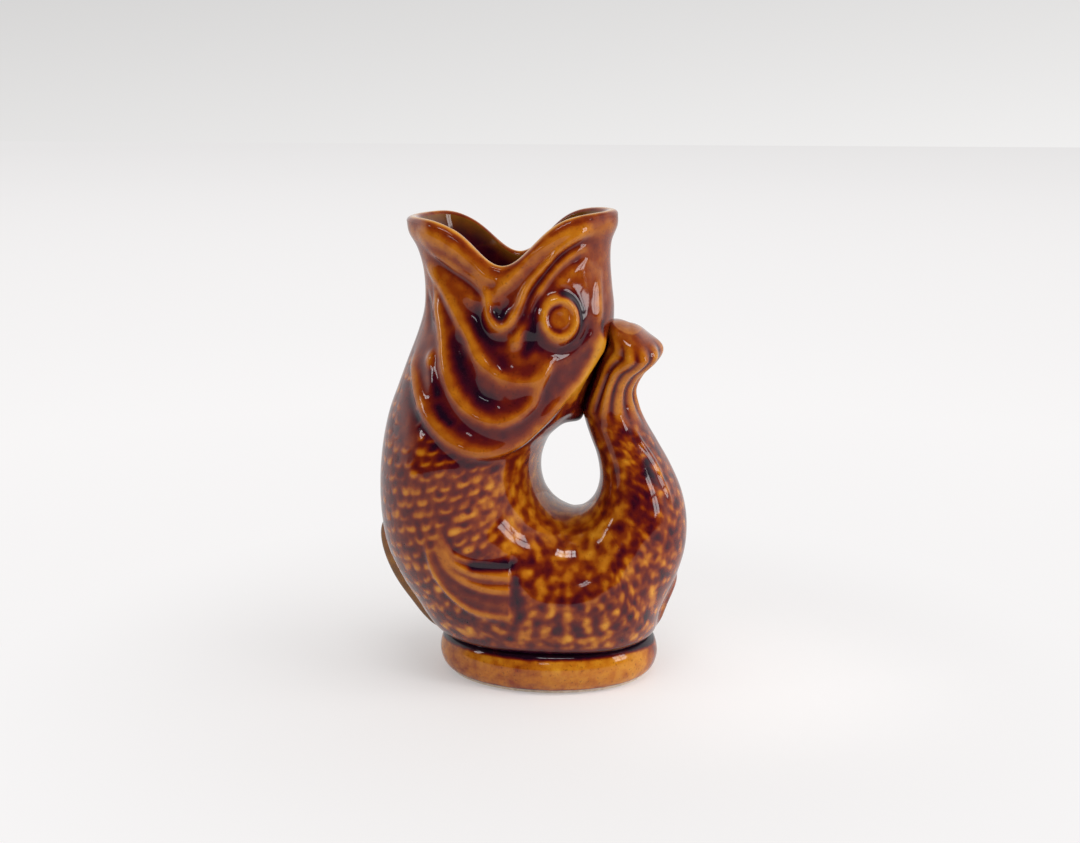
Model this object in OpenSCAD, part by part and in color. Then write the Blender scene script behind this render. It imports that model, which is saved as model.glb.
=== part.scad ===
// A fish-shaped gurgle jug in glazed earthenware. The fish stands on an oval foot and opens
// its mouth upwards to pour. Its hollow tail curls up behind it as the handle, open to the
// belly at the bottom and closed at the top, so that the air caught in it gurgles.
// X runs from the pouring lip to the handle, Y across the fish, Z up.
// The origin is the middle of the foot, on the surface that the jug stands on.

/* [Body] */
// Height of the jug to the tip of its upper jaw
jug_h = 127.4; // [110:0.1:150]
// Length of the body from the belly to the back of the tail
jug_l = 84; // [76:1:98]
// Greatest width of the belly across the fish
jug_w = 58; // [50:1:66]
// Thickness of the fired wall
wall = 3; // [2.4:0.1:3.6]

/* [Mouth] */
// Width of the mouth across its two corners
mouth_w = 37; // [31:1:43]
// Depth of the notch at each corner of the mouth
notch_depth = 12; // [9:0.5:14]
// Half-width of the notch where it has lost two thirds of its depth
notch_spread = 11; // [9:0.5:13]
// Height of the rounded edge of the rim
rim_round = 1.1; // [0.8:0.1:1.4]

/* [Handle] */
// Width of the finger hole, along the fish
hole_w = 16.4; // [13:0.2:19]
// Height of the finger hole
hole_h = 28; // [25:0.5:29.5]
// Thickness of the tail across the fish where it leaves the hole's foot
tail_w = 38; // [32:1:44]
// Width of the tail across the fish at its neck, below the fluke
tail_neck_w = 21; // [18:0.5:25]
// Width of the tail's fluke across the fish
fluke_w = 26; // [22:0.5:30]
// Height of the ridges on the fluke
fluke_ridge_h = 0.8; // [0.5:0.1:1.1]
// Glaze-filled crack between the fluke and the back of the head
crack_gap = 0.4; // [0.3:0.05:0.6]

/* [Foot] */
// Length of the foot at its widest
foot_l = 60.6; // [54:0.2:66]
// Width of the foot at its widest
foot_w = 46; // [41:0.5:50]
// Height of the foot, up to the crease under the belly
foot_h = 11; // [9:0.5:13]
// Height over which the belly rounds into the crease above the foot
crease_round = 2.5; // [1.5:0.1:3.5]
// Width of the unglazed rim that the jug stands on
rim_w = 4; // [3:0.5:5]
// Height of the bare clay below the glaze
rim_h = 0.6; // [0.4:0.1:1]
// Depth of the recess under the foot
recess_depth = 3; // [2:0.5:3.5]

/* [Relief] */
// Height of the lip, cheek and gill ridges
ridge_h = 1.3; // [0.9:0.1:1.7]
// Width of the lip, cheek and gill ridges
ridge_w = 3.2; // [2.6:0.1:3.8]
// Thickness of the gill cover at its free edge
gill_h = 1.4; // [1:0.1:1.8]
// Outside diameter of the raised ring round each eye
eye_d = 11.4; // [9.5:0.1:13.5]
// Width of the ring round each eye
eye_ring_w = 2.8; // [2.2:0.1:3.2]
// Height of the ring round each eye
eye_h = 1.5; // [1:0.1:2]
// Thickness of the side fins
fin_h = 0.9; // [0.6:0.1:1.2]
// Height of the rays on the side fins
ray_h = 0.5; // [0.3:0.1:0.7]
// Height of the belly fin and the tail fin above the skin
keel_h = 2.4; // [1.8:0.1:3]
// Thickness of the belly fin and the tail fin at the skin
keel_w = 5; // [4:0.2:6]
// Gap between a raised piece and the skin it lies on
seat_gap = 0.1; // [0.05:0.05:0.2]

/* [Hidden] */

amber = [0.62, 0.32, 0.09];
brown = [0.42, 0.18, 0.07];
honey = [0.66, 0.40, 0.12];
clay = [0.86, 0.80, 0.70];

// Points round each ring of the body, and round the foot
ring_points = 36;
foot_points = 48;
// Steps of one station along the body, outside and inside
outer_steps = 2;
inner_steps = 1;

// Stations of the body, in order from the rim down to the belly and up into the fluke.
// The outline on the belly's side: x as a share of jug_l, z as a share of jug_h.
outer_outline_shares = [
    [-0.447, 0.973], [-0.420, 0.925], [-0.400, 0.880], [-0.394, 0.832], [-0.399, 0.789],
    [-0.420, 0.742], [-0.452, 0.688], [-0.484, 0.632], [-0.514, 0.578], [-0.534, 0.520],
    [-0.545, 0.461], [-0.548, 0.402], [-0.543, 0.344], [-0.527, 0.285], [-0.488, 0.223],
    [-0.432, 0.162], [-0.354, 0.090], [-0.190, 0.016], [0.024, -0.008], [0.214, 0.016],
    [0.340, 0.086], [0.377, 0.154], [0.420, 0.223], [0.446, 0.285], [0.449, 0.348],
    [0.431, 0.406], [0.395, 0.461], [0.353, 0.510], [0.315, 0.553], [0.288, 0.592],
    [0.278, 0.627], [0.300, 0.659], [0.338, 0.683], [0.361, 0.709], [0.345, 0.732],
    [0.298, 0.747]
];
// The outline of the back of the head, from the rim down to the fluke's tip
head_back_shares = [
    [0.212, 0.994], [0.197, 0.940], [0.194, 0.895], [0.200, 0.844], [0.207, 0.797]
];
// The crack that the head and the fluke share, from its top down to the finger hole
crack_shares = [[0.203, 0.747], [0.170, 0.699], [0.137, 0.643], [0.108, 0.592]];
// The edge of the finger hole, from its top round its left side, foot and right side,
// as shares of hole_w and hole_h from the hole's middle
hole_edge_shares = [
    [-0.070, 0.461], [-0.330, 0.307], [-0.470, 0.115], [-0.497, -0.064], [-0.436, -0.228],
    [-0.308, -0.343], [-0.175, -0.404], [-0.050, -0.432], [0.036, -0.439], [0.109, -0.432],
    [0.195, -0.415], [0.305, -0.367], [0.402, -0.292], [0.470, -0.193], [0.500, -0.075],
    [0.482, 0.050], [0.427, 0.182], [0.341, 0.311], [0.268, 0.432], [0.213, 0.550]
];
// Extra stations of the fluke along the crack, as shares of the way between its points
fluke_mid_share = 0.5;
fluke_tip_share = [0.231, 0.755];
// Width of each station: a share of the size that sets it, and which size that is
MOUTH = 0;
BODY = 1;
TAIL = 2;
NECK = 3;
FLUKE = 4;
width_shares = [
    [1.000, MOUTH], [1.010, MOUTH], [1.050, MOUTH], [1.110, MOUTH], [1.165, MOUTH],
    [0.786, BODY], [0.838, BODY], [0.890, BODY], [0.938, BODY], [0.976, BODY],
    [0.996, BODY], [1.000, BODY], [0.996, BODY], [0.986, BODY], [0.966, BODY],
    [0.931, BODY], [0.897, BODY], [0.862, BODY], [0.838, BODY], [0.803, BODY],
    [0.759, BODY], [1.084, TAIL], [1.000, TAIL], [0.921, TAIL], [0.842, TAIL],
    [0.768, TAIL], [0.695, TAIL], [0.632, TAIL], [1.048, NECK], [1.000, NECK],
    [1.000, NECK], [1.050, NECK], [0.923, FLUKE], [1.000, FLUKE], [0.960, FLUKE],
    [0.690, FLUKE]
];
// How much of the notch each station near the rim still has
notch_shares = [1.00, 0.79, 0.54, 0.33, 0.17, 0.08];

// Profile of the foot from the standing rim up to the crease: distance in from its widest
// line as a share of rim_w, height as a share of foot_h
foot_profile_shares = [
    [0.75, 0.00], [0.50, 0.05], [0.28, 0.14], [0.10, 0.28], [0.00, 0.46], [0.02, 0.62],
    [0.12, 0.78], [0.26, 0.90], [0.42, 0.97], [0.60, 1.00]
];
rim_inset = foot_profile_shares[0][0] * rim_w;
// Profile of the rim, rolled over from the outside to the inside: shares of wall and rim_round
rim_profile_shares = [[0.92, 0.55], [0.72, 0.92], [0.50, 1.00], [0.28, 0.92], [0.08, 0.55]];

// Curves of the relief as they are seen from the side: x as a share of jug_l, z of jug_h
lip_curve = [
    [-0.375, 0.908], [-0.327, 0.893], [-0.280, 0.864], [-0.232, 0.828], [-0.193, 0.794],
    [-0.160, 0.768], [-0.124, 0.761], [-0.088, 0.778], [-0.048, 0.817], [0.007, 0.861],
    [0.071, 0.900], [0.131, 0.930], [0.169, 0.942]
];
brow_curve = [[0.062, 0.862], [0.098, 0.880], [0.139, 0.892], [0.174, 0.895]];
cheek_curve = [
    [-0.269, 0.808], [-0.250, 0.766], [-0.212, 0.720], [-0.150, 0.683], [-0.083, 0.669],
    [-0.019, 0.677], [0.019, 0.700], [0.040, 0.720]
];
gill_ridge_curve = [
    [-0.300, 0.762], [-0.283, 0.688], [-0.243, 0.633], [-0.164, 0.602], [-0.079, 0.606], [-0.019, 0.636]
];
gill_cover_curve = [
    [-0.374, 0.711], [-0.368, 0.656], [-0.348, 0.600], [-0.305, 0.555], [-0.245, 0.533],
    [-0.164, 0.525], [-0.081, 0.534], [-0.017, 0.561], [0.048, 0.597], [0.090, 0.633], [0.126, 0.675]
];
nostril_curve = [[-0.067, 0.748], [-0.067, 0.727], [-0.064, 0.706]];
throat_ray_curves = [
    [[-0.345, 0.758], [-0.338, 0.715], [-0.327, 0.665], [-0.318, 0.615]],
    [[-0.437, 0.640], [-0.447, 0.605], [-0.448, 0.570]]
];
side_fin_lower_curve = [
    [-0.363, 0.359], [-0.338, 0.308], [-0.305, 0.258], [-0.250, 0.219], [-0.169, 0.191], [-0.088, 0.173]
];
side_fin_upper_curve = [
    [-0.355, 0.366], [-0.305, 0.350], [-0.262, 0.328], [-0.214, 0.300], [-0.155, 0.281], [-0.083, 0.278]
];
eye_share = [0.071, 0.791];

// Cross-sections of the relief: place across it as a share of its width, height as a share
ridge_section = [[-0.50, 0.15], [-0.30, 0.78], [0.00, 1.00], [0.30, 0.78], [0.50, 0.15]];
cover_section = [[-0.50, 0.15], [-0.10, 0.45], [0.25, 0.85], [0.42, 1.00], [0.50, 0.60]];
keel_section = [[-0.50, 0.05], [-0.22, 0.45], [-0.08, 0.95], [0.08, 0.95], [0.22, 0.45], [0.50, 0.05]];
// The eye from its middle out: radius from the pupil to the ring, and height, as shares
pupil_section = [[0.10, 0.62], [0.55, 0.50], [1.00, 0.12]];
eye_ring_section = [[0.00, 0.25], [0.25, 0.85], [0.50, 1.00], [0.78, 0.75], [1.00, 0.15]];
pupil_share = 0.55;
// Height of the two keels along their length, as shares of keel_h
belly_fin_shares = [0.25, 0.85, 1.00, 0.95, 0.85, 0.78, 0.70, 0.50, 0.25];
tail_fin_shares = [0.15, 0.40, 0.60, 0.65, 0.55, 0.30];
belly_fin_stations = [12.5, 15.7];
tail_fin_stations = [20.55, 21.75];
brow_width_share = 0.7;
nostril_share = 1.15;
gill_cover_share = 1.5;
ray_share = 0.85;

// Stations where one piece of the body ends and the next begins
rim_station = 0;
neck_station = 8;
tail_station = 21;
cavity_end_station = 28;
fluke_station = 30;
tip_station = 35;

hole_x = 0.070 * jug_l;
hole_z = 0.457 * jug_h;
sizes_across = [mouth_w, jug_w, tail_w, tail_neck_w, fluke_w];

function body_point(share) = [share[0] * jug_l, share[1] * jug_h];
function hole_point(share) = [hole_x + share[0] * hole_w, hole_z + share[1] * hole_h];
function crack_point(i, side) = body_point(crack_shares[i]) + [side * crack_gap / 2, 0];
function between(a, b, share) = a + (b - a) * share;

outer_outline = [for (share = outer_outline_shares) body_point(share)];
inner_outline = concat(
    [for (share = head_back_shares) body_point(share)],
    [for (i = [0 : 3]) crack_point(i, -1)],
    [for (share = hole_edge_shares) hole_point(share)],
    [crack_point(3, 1), crack_point(2, 1), between(crack_point(2, 1), crack_point(1, 1), fluke_mid_share),
     crack_point(1, 1), between(crack_point(1, 1), crack_point(0, 1), fluke_mid_share),
     crack_point(0, 1), body_point(fluke_tip_share)]
);

// One row per station: outer x and z, inner x and z, half the width, depth of the notch
stations = [for (i = [0 : tip_station]) [
    outer_outline[i][0], outer_outline[i][1], inner_outline[i][0], inner_outline[i][1],
    width_shares[i][0] * sizes_across[width_shares[i][1]] / 2,
    notch_depth * (i < len(notch_shares) ? notch_shares[i] : 0)
]];

// A smooth curve through four rows, at a share t of the way from the second to the third
function through(a, b, c, d, t) =
    0.5 * (2 * b + (c - a) * t + (2 * a - 5 * b + 4 * c - d) * t * t + (3 * b - a - 3 * c + d) * t * t * t);
function row_at(rows, s) =
    let (last = len(rows) - 1, i = min(max(floor(s), 0), last - 1))
    through(rows[max(i - 1, 0)], rows[i], rows[i + 1], rows[min(i + 2, last)], s - i);

// A point of the skin: s runs along the fish in stations, angle round it from the belly's
// side, off moves the point out of the skin, lift moves it up
function skin_point(s, angle, off = 0, lift = 0) =
    let (
        row = row_at(stations, s),
        outer = [row[0], row[1]],
        inner = [row[2], row[3]],
        arm = (outer - inner) / 2,
        reach = norm(arm),
        middle = (outer + inner) / 2 + arm * cos(angle) * (reach + off) / reach,
        notch = row[5] * exp(-pow(reach * cos(angle) / notch_spread, 2))
    )
    [middle[0], (row[4] + off) * sin(angle), middle[1] - notch + lift];

// The larger of two heights, with a rounded change from one to the other
function rounded_max(a, b, r) = max(a, b) + (abs(a - b) < r ? pow(r - abs(a - b), 2) / (4 * r) : 0);

// The same point, but never below the flat seat on the foot, less the wall for the inside
function seated_point(s, angle, off) =
    let (p = skin_point(s, angle, off))
    [p[0], p[1], rounded_max(p[2], foot_h - min(off, 0), crease_round)];

function ring(s, off, lift = 0) = [for (i = [0 : ring_points - 1]) skin_point(s, 360 * i / ring_points, off, lift)];
function seated_ring(s, off) = [for (i = [0 : ring_points - 1]) seated_point(s, 360 * i / ring_points, off)];

// A solid skinned over rings of equal length. A looped one joins its last ring to its first,
// and any other has a fan over each end.
module ring_solid(rings, looped = false) {
    n = len(rings);
    m = len(rings[0]);
    spans = looped ? n : n - 1;
    points = [for (r = rings) for (p = r) p];
    sides = [for (i = [0 : spans - 1]) for (j = [0 : m - 1])
        let (a = i * m + j, b = i * m + (j + 1) % m, c = ((i + 1) % n) * m + (j + 1) % m, d = ((i + 1) % n) * m + j)
        each [[a, b, c], [a, c, d]]];
    ends = looped ? [] : [
        for (j = [1 : m - 2]) each [[0, j + 1, j], [(n - 1) * m, (n - 1) * m + j, (n - 1) * m + j + 1]]];
    polyhedron(points = points, faces = concat(sides, ends));
}

// An oval of the foot's outline, moved in by inset
function foot_oval(inset) = [for (i = [0 : foot_points - 1])
    let (angle = 360 * i / foot_points) [(foot_l / 2 - inset) * cos(angle), (foot_w / 2 - inset) * sin(angle)]];
function foot_ring(inset, z) = [for (p = foot_oval(inset)) [p[0], p[1], z]];

module foot() {
    glazed_h = foot_h - rim_h;
    color(amber) ring_solid(concat(
        [foot_ring(rim_inset + rim_w, recess_depth), foot_ring(rim_inset + rim_w, rim_h)],
        [for (share = foot_profile_shares) foot_ring(share[0] * rim_w, rim_h + share[1] * glazed_h)]
    ));
}

// The bare ring of clay that the jug stands on
module standing_rim() {
    color(clay) linear_extrude(rim_h) difference() {
        polygon(foot_oval(rim_inset));
        polygon(foot_oval(rim_inset + rim_w));
    }
}

module belly_shell() {
    color(brown) ring_solid(concat(
        [for (i = [0 : (tail_station - neck_station) * outer_steps]) seated_ring(neck_station + i / outer_steps, 0)],
        [for (i = [0 : (tail_station - neck_station) * inner_steps]) seated_ring(tail_station - i / inner_steps, -wall)]
    ), looped = true);
}

module head_shell() {
    color(brown) ring_solid(concat(
        [for (share = rim_profile_shares) ring(rim_station, -share[0] * wall, share[1] * rim_round)],
        [for (i = [0 : neck_station * outer_steps]) ring(i / outer_steps, 0)],
        [for (i = [0 : neck_station * inner_steps]) ring(neck_station - i / inner_steps, -wall)]
    ), looped = true);
}

module tail_handle() {
    color(brown) ring_solid(concat(
        [for (i = [0 : (cavity_end_station - tail_station) * inner_steps]) ring(cavity_end_station - i / inner_steps, -wall)],
        [for (i = [0 : (fluke_station - tail_station) * outer_steps]) ring(tail_station + i / outer_steps, 0)]
    ));
}

module tail_fluke() {
    points = 2 * ring_points;
    color(honey) ring_solid([for (i = [0 : (tip_station - fluke_station) * outer_steps])
        let (s = fluke_station + i / outer_steps, rise = fluke_ridge_h * min(1, i / outer_steps))
        [for (j = [0 : points - 1]) skin_point(s, 360 * j / points, rise * (cos(12 * 360 * j / points) - 1) / 2)]
    ]);
}

// How far round the ring at station s the point p lies, as the cosine of its angle
function notch_at(row, reach, c) = row[5] * exp(-pow(reach * c / notch_spread, 2));
function share_along(p, row) =
    let (
        arm = ([row[0], row[1]] - [row[2], row[3]]) / 2,
        middle = ([row[0], row[1]] + [row[2], row[3]]) / 2,
        reach = norm(arm),
        first = (p - middle) * arm / pow(reach, 2),
        level = p + [0, notch_at(row, reach, first)]
    )
    [(level - middle) * arm / pow(reach, 2), cross(level - middle, arm)];

// The station whose ring passes behind the point p of the side view
function station_of(p, low, high, tries = 14) =
    let (s = (low + high) / 2)
    tries == 0 ? s
    : share_along(p, row_at(stations, s))[1] < 0 ? station_of(p, s, high, tries - 1)
    : station_of(p, low, s, tries - 1);

// A point of the side view as a place on the skin: station and angle
function place_of(share) =
    let (p = body_point(share), s = station_of(p, rim_station, tail_station))
    [s, acos(min(max(share_along(p, row_at(stations, s))[0], -1), 1))];

// The place reached from another by moving along the skin, by the vector step
function moved(place, step) =
    let (
        nudge = 0.02,
        turn = 0.5,
        here = skin_point(place[0], place[1]),
        along = (skin_point(place[0] + nudge, place[1]) - here) / nudge,
        round_it = (skin_point(place[0], place[1] + turn) - here) / turn,
        out = cross(along, round_it)
    )
    [place[0] + cross(step, round_it) * out / (out * out), place[1] + cross(along, step) * out / (out * out)];

// The two directions along the skin at a place: down the fish, and square to that
function frame_at(place) =
    let (
        nudge = 0.02,
        turn = 0.5,
        here = skin_point(place[0], place[1]),
        along = skin_point(place[0] + nudge, place[1]) - here,
        round_it = skin_point(place[0], place[1] + turn) - here,
        out = cross(along, round_it)
    )
    [along / norm(along), cross(out, along) / (norm(out) * norm(along))];

function on_skin(place, height) = skin_point(place[0], place[1], seat_gap + height);

// A loop round a cross-section that stands on the skin at one place of a path
function section_loop(places, i, section, width, height) =
    let (
        last = len(places) - 1,
        a = places[max(i - 1, 0)],
        b = places[min(i + 1, last)],
        heading = skin_point(b[0], b[1]) - skin_point(a[0], a[1]),
        axes = frame_at(places[i]),
        out = cross(axes[0], axes[1]),
        across = cross(heading, out) / norm(cross(heading, out))
    )
    concat(
        [for (point = section) on_skin(moved(places[i], across * point[0] * width), point[1] * height)],
        [for (k = [len(section) - 1, 0]) on_skin(moved(places[i], across * section[k][0] * width), 0)]
    );

// A raised ridge along a curve of the side view
module ridge(curve, width, height, section = ridge_section, steps = 16) {
    places = [for (i = [0 : steps]) place_of(row_at(curve, (len(curve) - 1) * i / steps))];
    ring_solid([for (i = [0 : steps])
        let (swell = min(1, (i + 1.2) / 3.2, (steps - i + 1.2) / 3.2))
        section_loop(places, i, section, width * swell, height * swell)
    ]);
}

// A keel down the middle of the belly between two stations
module keel(span, height_shares) {
    last = len(height_shares) - 1;
    places = [for (i = [0 : last]) [between(span[0], span[1], i / last), 0]];
    ring_solid([for (i = [0 : last]) section_loop(places, i, keel_section, keel_w, keel_h * height_shares[i])]);
}

module eye() {
    centre = place_of(eye_share);
    axes = frame_at(centre);
    ring_r = eye_d / 2 - eye_ring_w;
    pupil_r = ring_r * pupil_share;
    loops = concat(
        [for (p = pupil_section) [p[0] * pupil_r, p[1]]],
        [for (p = eye_ring_section) [ring_r + p[0] * eye_ring_w, p[1]]],
        [[eye_d / 2, 0], [pupil_section[0][0] * pupil_r, 0]]
    );
    ring_solid([for (loop = loops) [for (j = [0 : 19])
        on_skin(moved(centre, loop[0] * (cos(18 * j) * axes[0] + sin(18 * j) * axes[1])), loop[1] * eye_h)]]);
}

module side_fin() {
    lengthwise = 12;
    across = 12;
    last = len(side_fin_lower_curve) - 1;
    rows = [for (i = [0 : lengthwise]) [for (j = [0 : across])
        place_of(between(row_at(side_fin_lower_curve, last * i / lengthwise),
            row_at(side_fin_upper_curve, last * i / lengthwise), j / across))]];
    ring_solid([for (i = [0 : lengthwise]) let (swell = min(1, (i + 1) / 4)) concat(
        [for (j = [0 : across]) on_skin(rows[i][j], swell * (fin_h * (j == 0 || j == across ? 0.5 : 1) + (j % 2 == 1 ? ray_h : 0)))],
        [for (j = [0 : across]) on_skin(rows[i][across - j], 0)]
    )]);
}

module left() { mirror([0, 1, 0]) children(); }
module lip() { color(honey) ridge(lip_curve, ridge_w, ridge_h, steps = 36); }
module brow() { color(honey) ridge(brow_curve, ridge_w * brow_width_share, ridge_h, steps = 8); }
module cheek() { color(honey) ridge(cheek_curve, ridge_w, ridge_h, steps = 20); }
module gill_ridge() { color(honey) ridge(gill_ridge_curve, ridge_w, ridge_h, steps = 18); }
module gill_cover() { color(honey) ridge(gill_cover_curve, ridge_w * gill_cover_share, gill_h, cover_section, 26); }
module nostril() { color(honey) ridge(nostril_curve, ridge_w * nostril_share, ridge_h, steps = 6); }
module throat_rays() { color(honey) for (curve = throat_ray_curves) ridge(curve, ridge_w * ray_share, ridge_h, steps = 10); }
module belly_fin() { color(honey) keel(belly_fin_stations, belly_fin_shares); }
module tail_fin() { color(honey) keel(tail_fin_stations, tail_fin_shares); }

standing_rim();
foot();
belly_shell();
head_shell();
tail_handle();
tail_fluke();
belly_fin();
tail_fin();
left() eye();  // left_eye
eye();  // right_eye
left() nostril();  // left_nostril
nostril();  // right_nostril
left() lip();  // left_lip
lip();  // right_lip
left() brow();  // left_brow
brow();  // right_brow
left() cheek();  // left_cheek
cheek();  // right_cheek
left() gill_ridge();  // left_gill_ridge
gill_ridge();  // right_gill_ridge
left() gill_cover();  // left_gill_cover
gill_cover();  // right_gill_cover
left() throat_rays();  // left_throat_rays
throat_rays();  // right_throat_rays
left() side_fin();  // left_side_fin
side_fin();  // right_side_fin
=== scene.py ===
# A fish-shaped gurgle jug in brown-glazed earthenware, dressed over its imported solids.
# Metres, +Z up. Shapes are worked out in millimetres, from the same shares as the part's source.
import math
import bpy
import numpy as np
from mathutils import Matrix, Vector


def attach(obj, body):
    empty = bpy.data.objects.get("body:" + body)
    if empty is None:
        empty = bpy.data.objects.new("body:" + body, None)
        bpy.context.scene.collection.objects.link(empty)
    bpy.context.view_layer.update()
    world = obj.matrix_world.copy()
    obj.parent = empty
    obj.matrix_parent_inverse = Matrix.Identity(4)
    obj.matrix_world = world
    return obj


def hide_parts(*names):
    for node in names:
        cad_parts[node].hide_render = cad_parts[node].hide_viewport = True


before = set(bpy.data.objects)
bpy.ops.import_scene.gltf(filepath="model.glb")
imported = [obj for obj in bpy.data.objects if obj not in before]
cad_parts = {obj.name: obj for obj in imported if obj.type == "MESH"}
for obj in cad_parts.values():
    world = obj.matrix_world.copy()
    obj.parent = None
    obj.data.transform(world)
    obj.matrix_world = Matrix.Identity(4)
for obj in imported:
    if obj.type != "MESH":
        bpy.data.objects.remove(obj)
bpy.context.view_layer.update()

millimetre = 0.001
print("frame loaded:", len(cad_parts), "nodes")

# The camera, at the photograph's angle
view = {"azimuth": 6.5, "distance": 0.414, "height": 0.164, "tilt": 12.77, "yaw": -0.33,
        "focal": 1566, "width": 1080, "sensor": 36}

camera = bpy.data.objects.new("camera", bpy.data.cameras.new("camera"))
bpy.context.scene.collection.objects.link(camera)
turn = math.radians(view["azimuth"])
camera.location = (view["distance"] * math.sin(turn), -view["distance"] * math.cos(turn), view["height"])
camera.rotation_euler = (math.radians(90 - view["tilt"]), 0, math.radians(view["azimuth"] - view["yaw"]))
camera.data.sensor_width = view["sensor"]
camera.data.lens = view["sensor"] * view["focal"] / view["width"]
camera.data.clip_start = 0.01
bpy.context.scene.camera = camera
bpy.context.scene.view_settings.view_transform = "Standard"

# The skin of the fish, as in the part's source
jug = {"height": 127.4, "length": 84, "width": 58, "wall": 3,
       "mouthWidth": 37, "notchDepth": 12, "notchSpread": 11, "rimRound": 1.1,
       "holeWidth": 16.4, "holeHeight": 28, "tailWidth": 38, "neckWidth": 21, "flukeWidth": 26,
       "crackGap": 0.4, "footLength": 60.6, "footWidth": 46, "footHeight": 11,
       "creaseRound": 2.5, "rimWidth": 4, "rimHeight": 0.6, "recessDepth": 3}

# Points of the side view as shares of the jug's length and height, from the pouring lip round the belly
# and up the tail. The hole's are shares of its own width and height.
outerShares = [
    [-0.447, 0.973], [-0.420, 0.925], [-0.400, 0.880], [-0.394, 0.832], [-0.399, 0.789],
    [-0.420, 0.742], [-0.452, 0.688], [-0.484, 0.632], [-0.514, 0.578], [-0.534, 0.520],
    [-0.545, 0.461], [-0.548, 0.402], [-0.543, 0.344], [-0.527, 0.285], [-0.488, 0.223],
    [-0.432, 0.162], [-0.354, 0.090], [-0.190, 0.016], [0.024, -0.008], [0.214, 0.016],
    [0.340, 0.086], [0.377, 0.154], [0.420, 0.223], [0.446, 0.285], [0.449, 0.348],
    [0.431, 0.406], [0.395, 0.461], [0.353, 0.510], [0.315, 0.553], [0.288, 0.592],
    [0.278, 0.627], [0.300, 0.659], [0.338, 0.683], [0.361, 0.709], [0.345, 0.732],
    [0.298, 0.747]]
headBackShares = [[0.212, 0.994], [0.197, 0.940], [0.194, 0.895], [0.200, 0.844], [0.207, 0.797]]
crackShares = [[0.203, 0.747], [0.170, 0.699], [0.137, 0.643], [0.108, 0.592]]
holeShares = [
    [-0.070, 0.461], [-0.330, 0.307], [-0.470, 0.115], [-0.497, -0.064], [-0.436, -0.228],
    [-0.308, -0.343], [-0.175, -0.404], [-0.050, -0.432], [0.036, -0.439], [0.109, -0.432],
    [0.195, -0.415], [0.305, -0.367], [0.402, -0.292], [0.470, -0.193], [0.500, -0.075],
    [0.482, 0.050], [0.427, 0.182], [0.341, 0.311], [0.268, 0.432], [0.213, 0.550]]
flukeTipShare = [0.231, 0.755]
notchShares = [1.00, 0.79, 0.54, 0.33, 0.17, 0.08]
widthShares = {   # across the fish, each list in shares of one size
    "mouthWidth": [1.000, 1.010, 1.050, 1.110, 1.165],
    "width": [0.786, 0.838, 0.890, 0.938, 0.976, 0.996, 1.000, 0.996, 0.986, 0.966, 0.931,
              0.897, 0.862, 0.838, 0.803, 0.759],
    "tailWidth": [1.084, 1.000, 0.921, 0.842, 0.768, 0.695, 0.632],
    "neckWidth": [1.048, 1.000, 1.000, 1.050],
    "flukeWidth": [0.923, 1.000, 0.960, 0.690]}
footShares = [[0.75, 0.00], [0.50, 0.05], [0.28, 0.14], [0.10, 0.28], [0.00, 0.46], [0.02, 0.62],
              [0.12, 0.78], [0.26, 0.90], [0.42, 0.97], [0.60, 1.00]]


def bodyPoint(share, shift=0):
    return np.array([share[0] * jug["length"] + shift, share[1] * jug["height"]])


def holePoint(share):
    return bodyPoint([0.070, 0.457]) + [share[0] * jug["holeWidth"], share[1] * jug["holeHeight"]]


def stationRows():
    half = jug["crackGap"] / 2
    near = [bodyPoint(share, -half) for share in crackShares]
    far = [bodyPoint(share, half) for share in crackShares]
    inner = [bodyPoint(share) for share in headBackShares] + near + [holePoint(share) for share in holeShares]
    inner += [far[3], far[2], (far[2] + far[1]) / 2, far[1], (far[1] + far[0]) / 2, far[0]]
    inner.append(bodyPoint(flukeTipShare))
    widths = [share * jug[size] / 2 for size, shares in widthShares.items() for share in shares]
    notches = [share * jug["notchDepth"] for share in notchShares] + [0] * 30
    outer = [bodyPoint(share) for share in outerShares]
    rows = zip(outer, inner, widths, notches)
    return np.array([[*front, *back, width, notch] for front, back, width, notch in rows])


stations = stationRows()
station = {"rim": 0, "neck": 8, "throat": 13, "underHole": 15, "tail": 21,
           "cavityEnd": 28, "fluke": 30, "tip": 35}


def smoothRow(rows, s):
    # a smooth curve through rows of numbers, at places counted in rows
    rows, s = np.asarray(rows, float), np.asarray(s, float)
    last = len(rows) - 1
    i = np.clip(np.floor(s).astype(int), 0, last - 1)
    t = (s - i)[..., None]
    a, b, c, d = rows[np.maximum(i - 1, 0)], rows[i], rows[i + 1], rows[np.minimum(i + 2, last)]
    first, second, third = c - a, 2 * a - 5 * b + 4 * c - d, 3 * b - a - 3 * c + d
    return 0.5 * (2 * b + first * t + second * t ** 2 + third * t ** 3)


def smoothStep(low, high, value):
    t = np.clip((value - low) / (high - low), 0, 1)
    return t * t * (3 - 2 * t)


def band(value, low, full, end, past):
    # rises from low to full and falls from end to past
    return smoothStep(low, full, value) * (1 - smoothStep(end, past, value))


def hump(distance, spread):
    return np.exp(-(distance / spread) ** 2)


def roundedMax(a, b, r):
    gap = np.abs(a - b)
    return np.maximum(a, b) + np.where(gap < r, (r - gap) ** 2 / (4 * r), 0)


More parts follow.
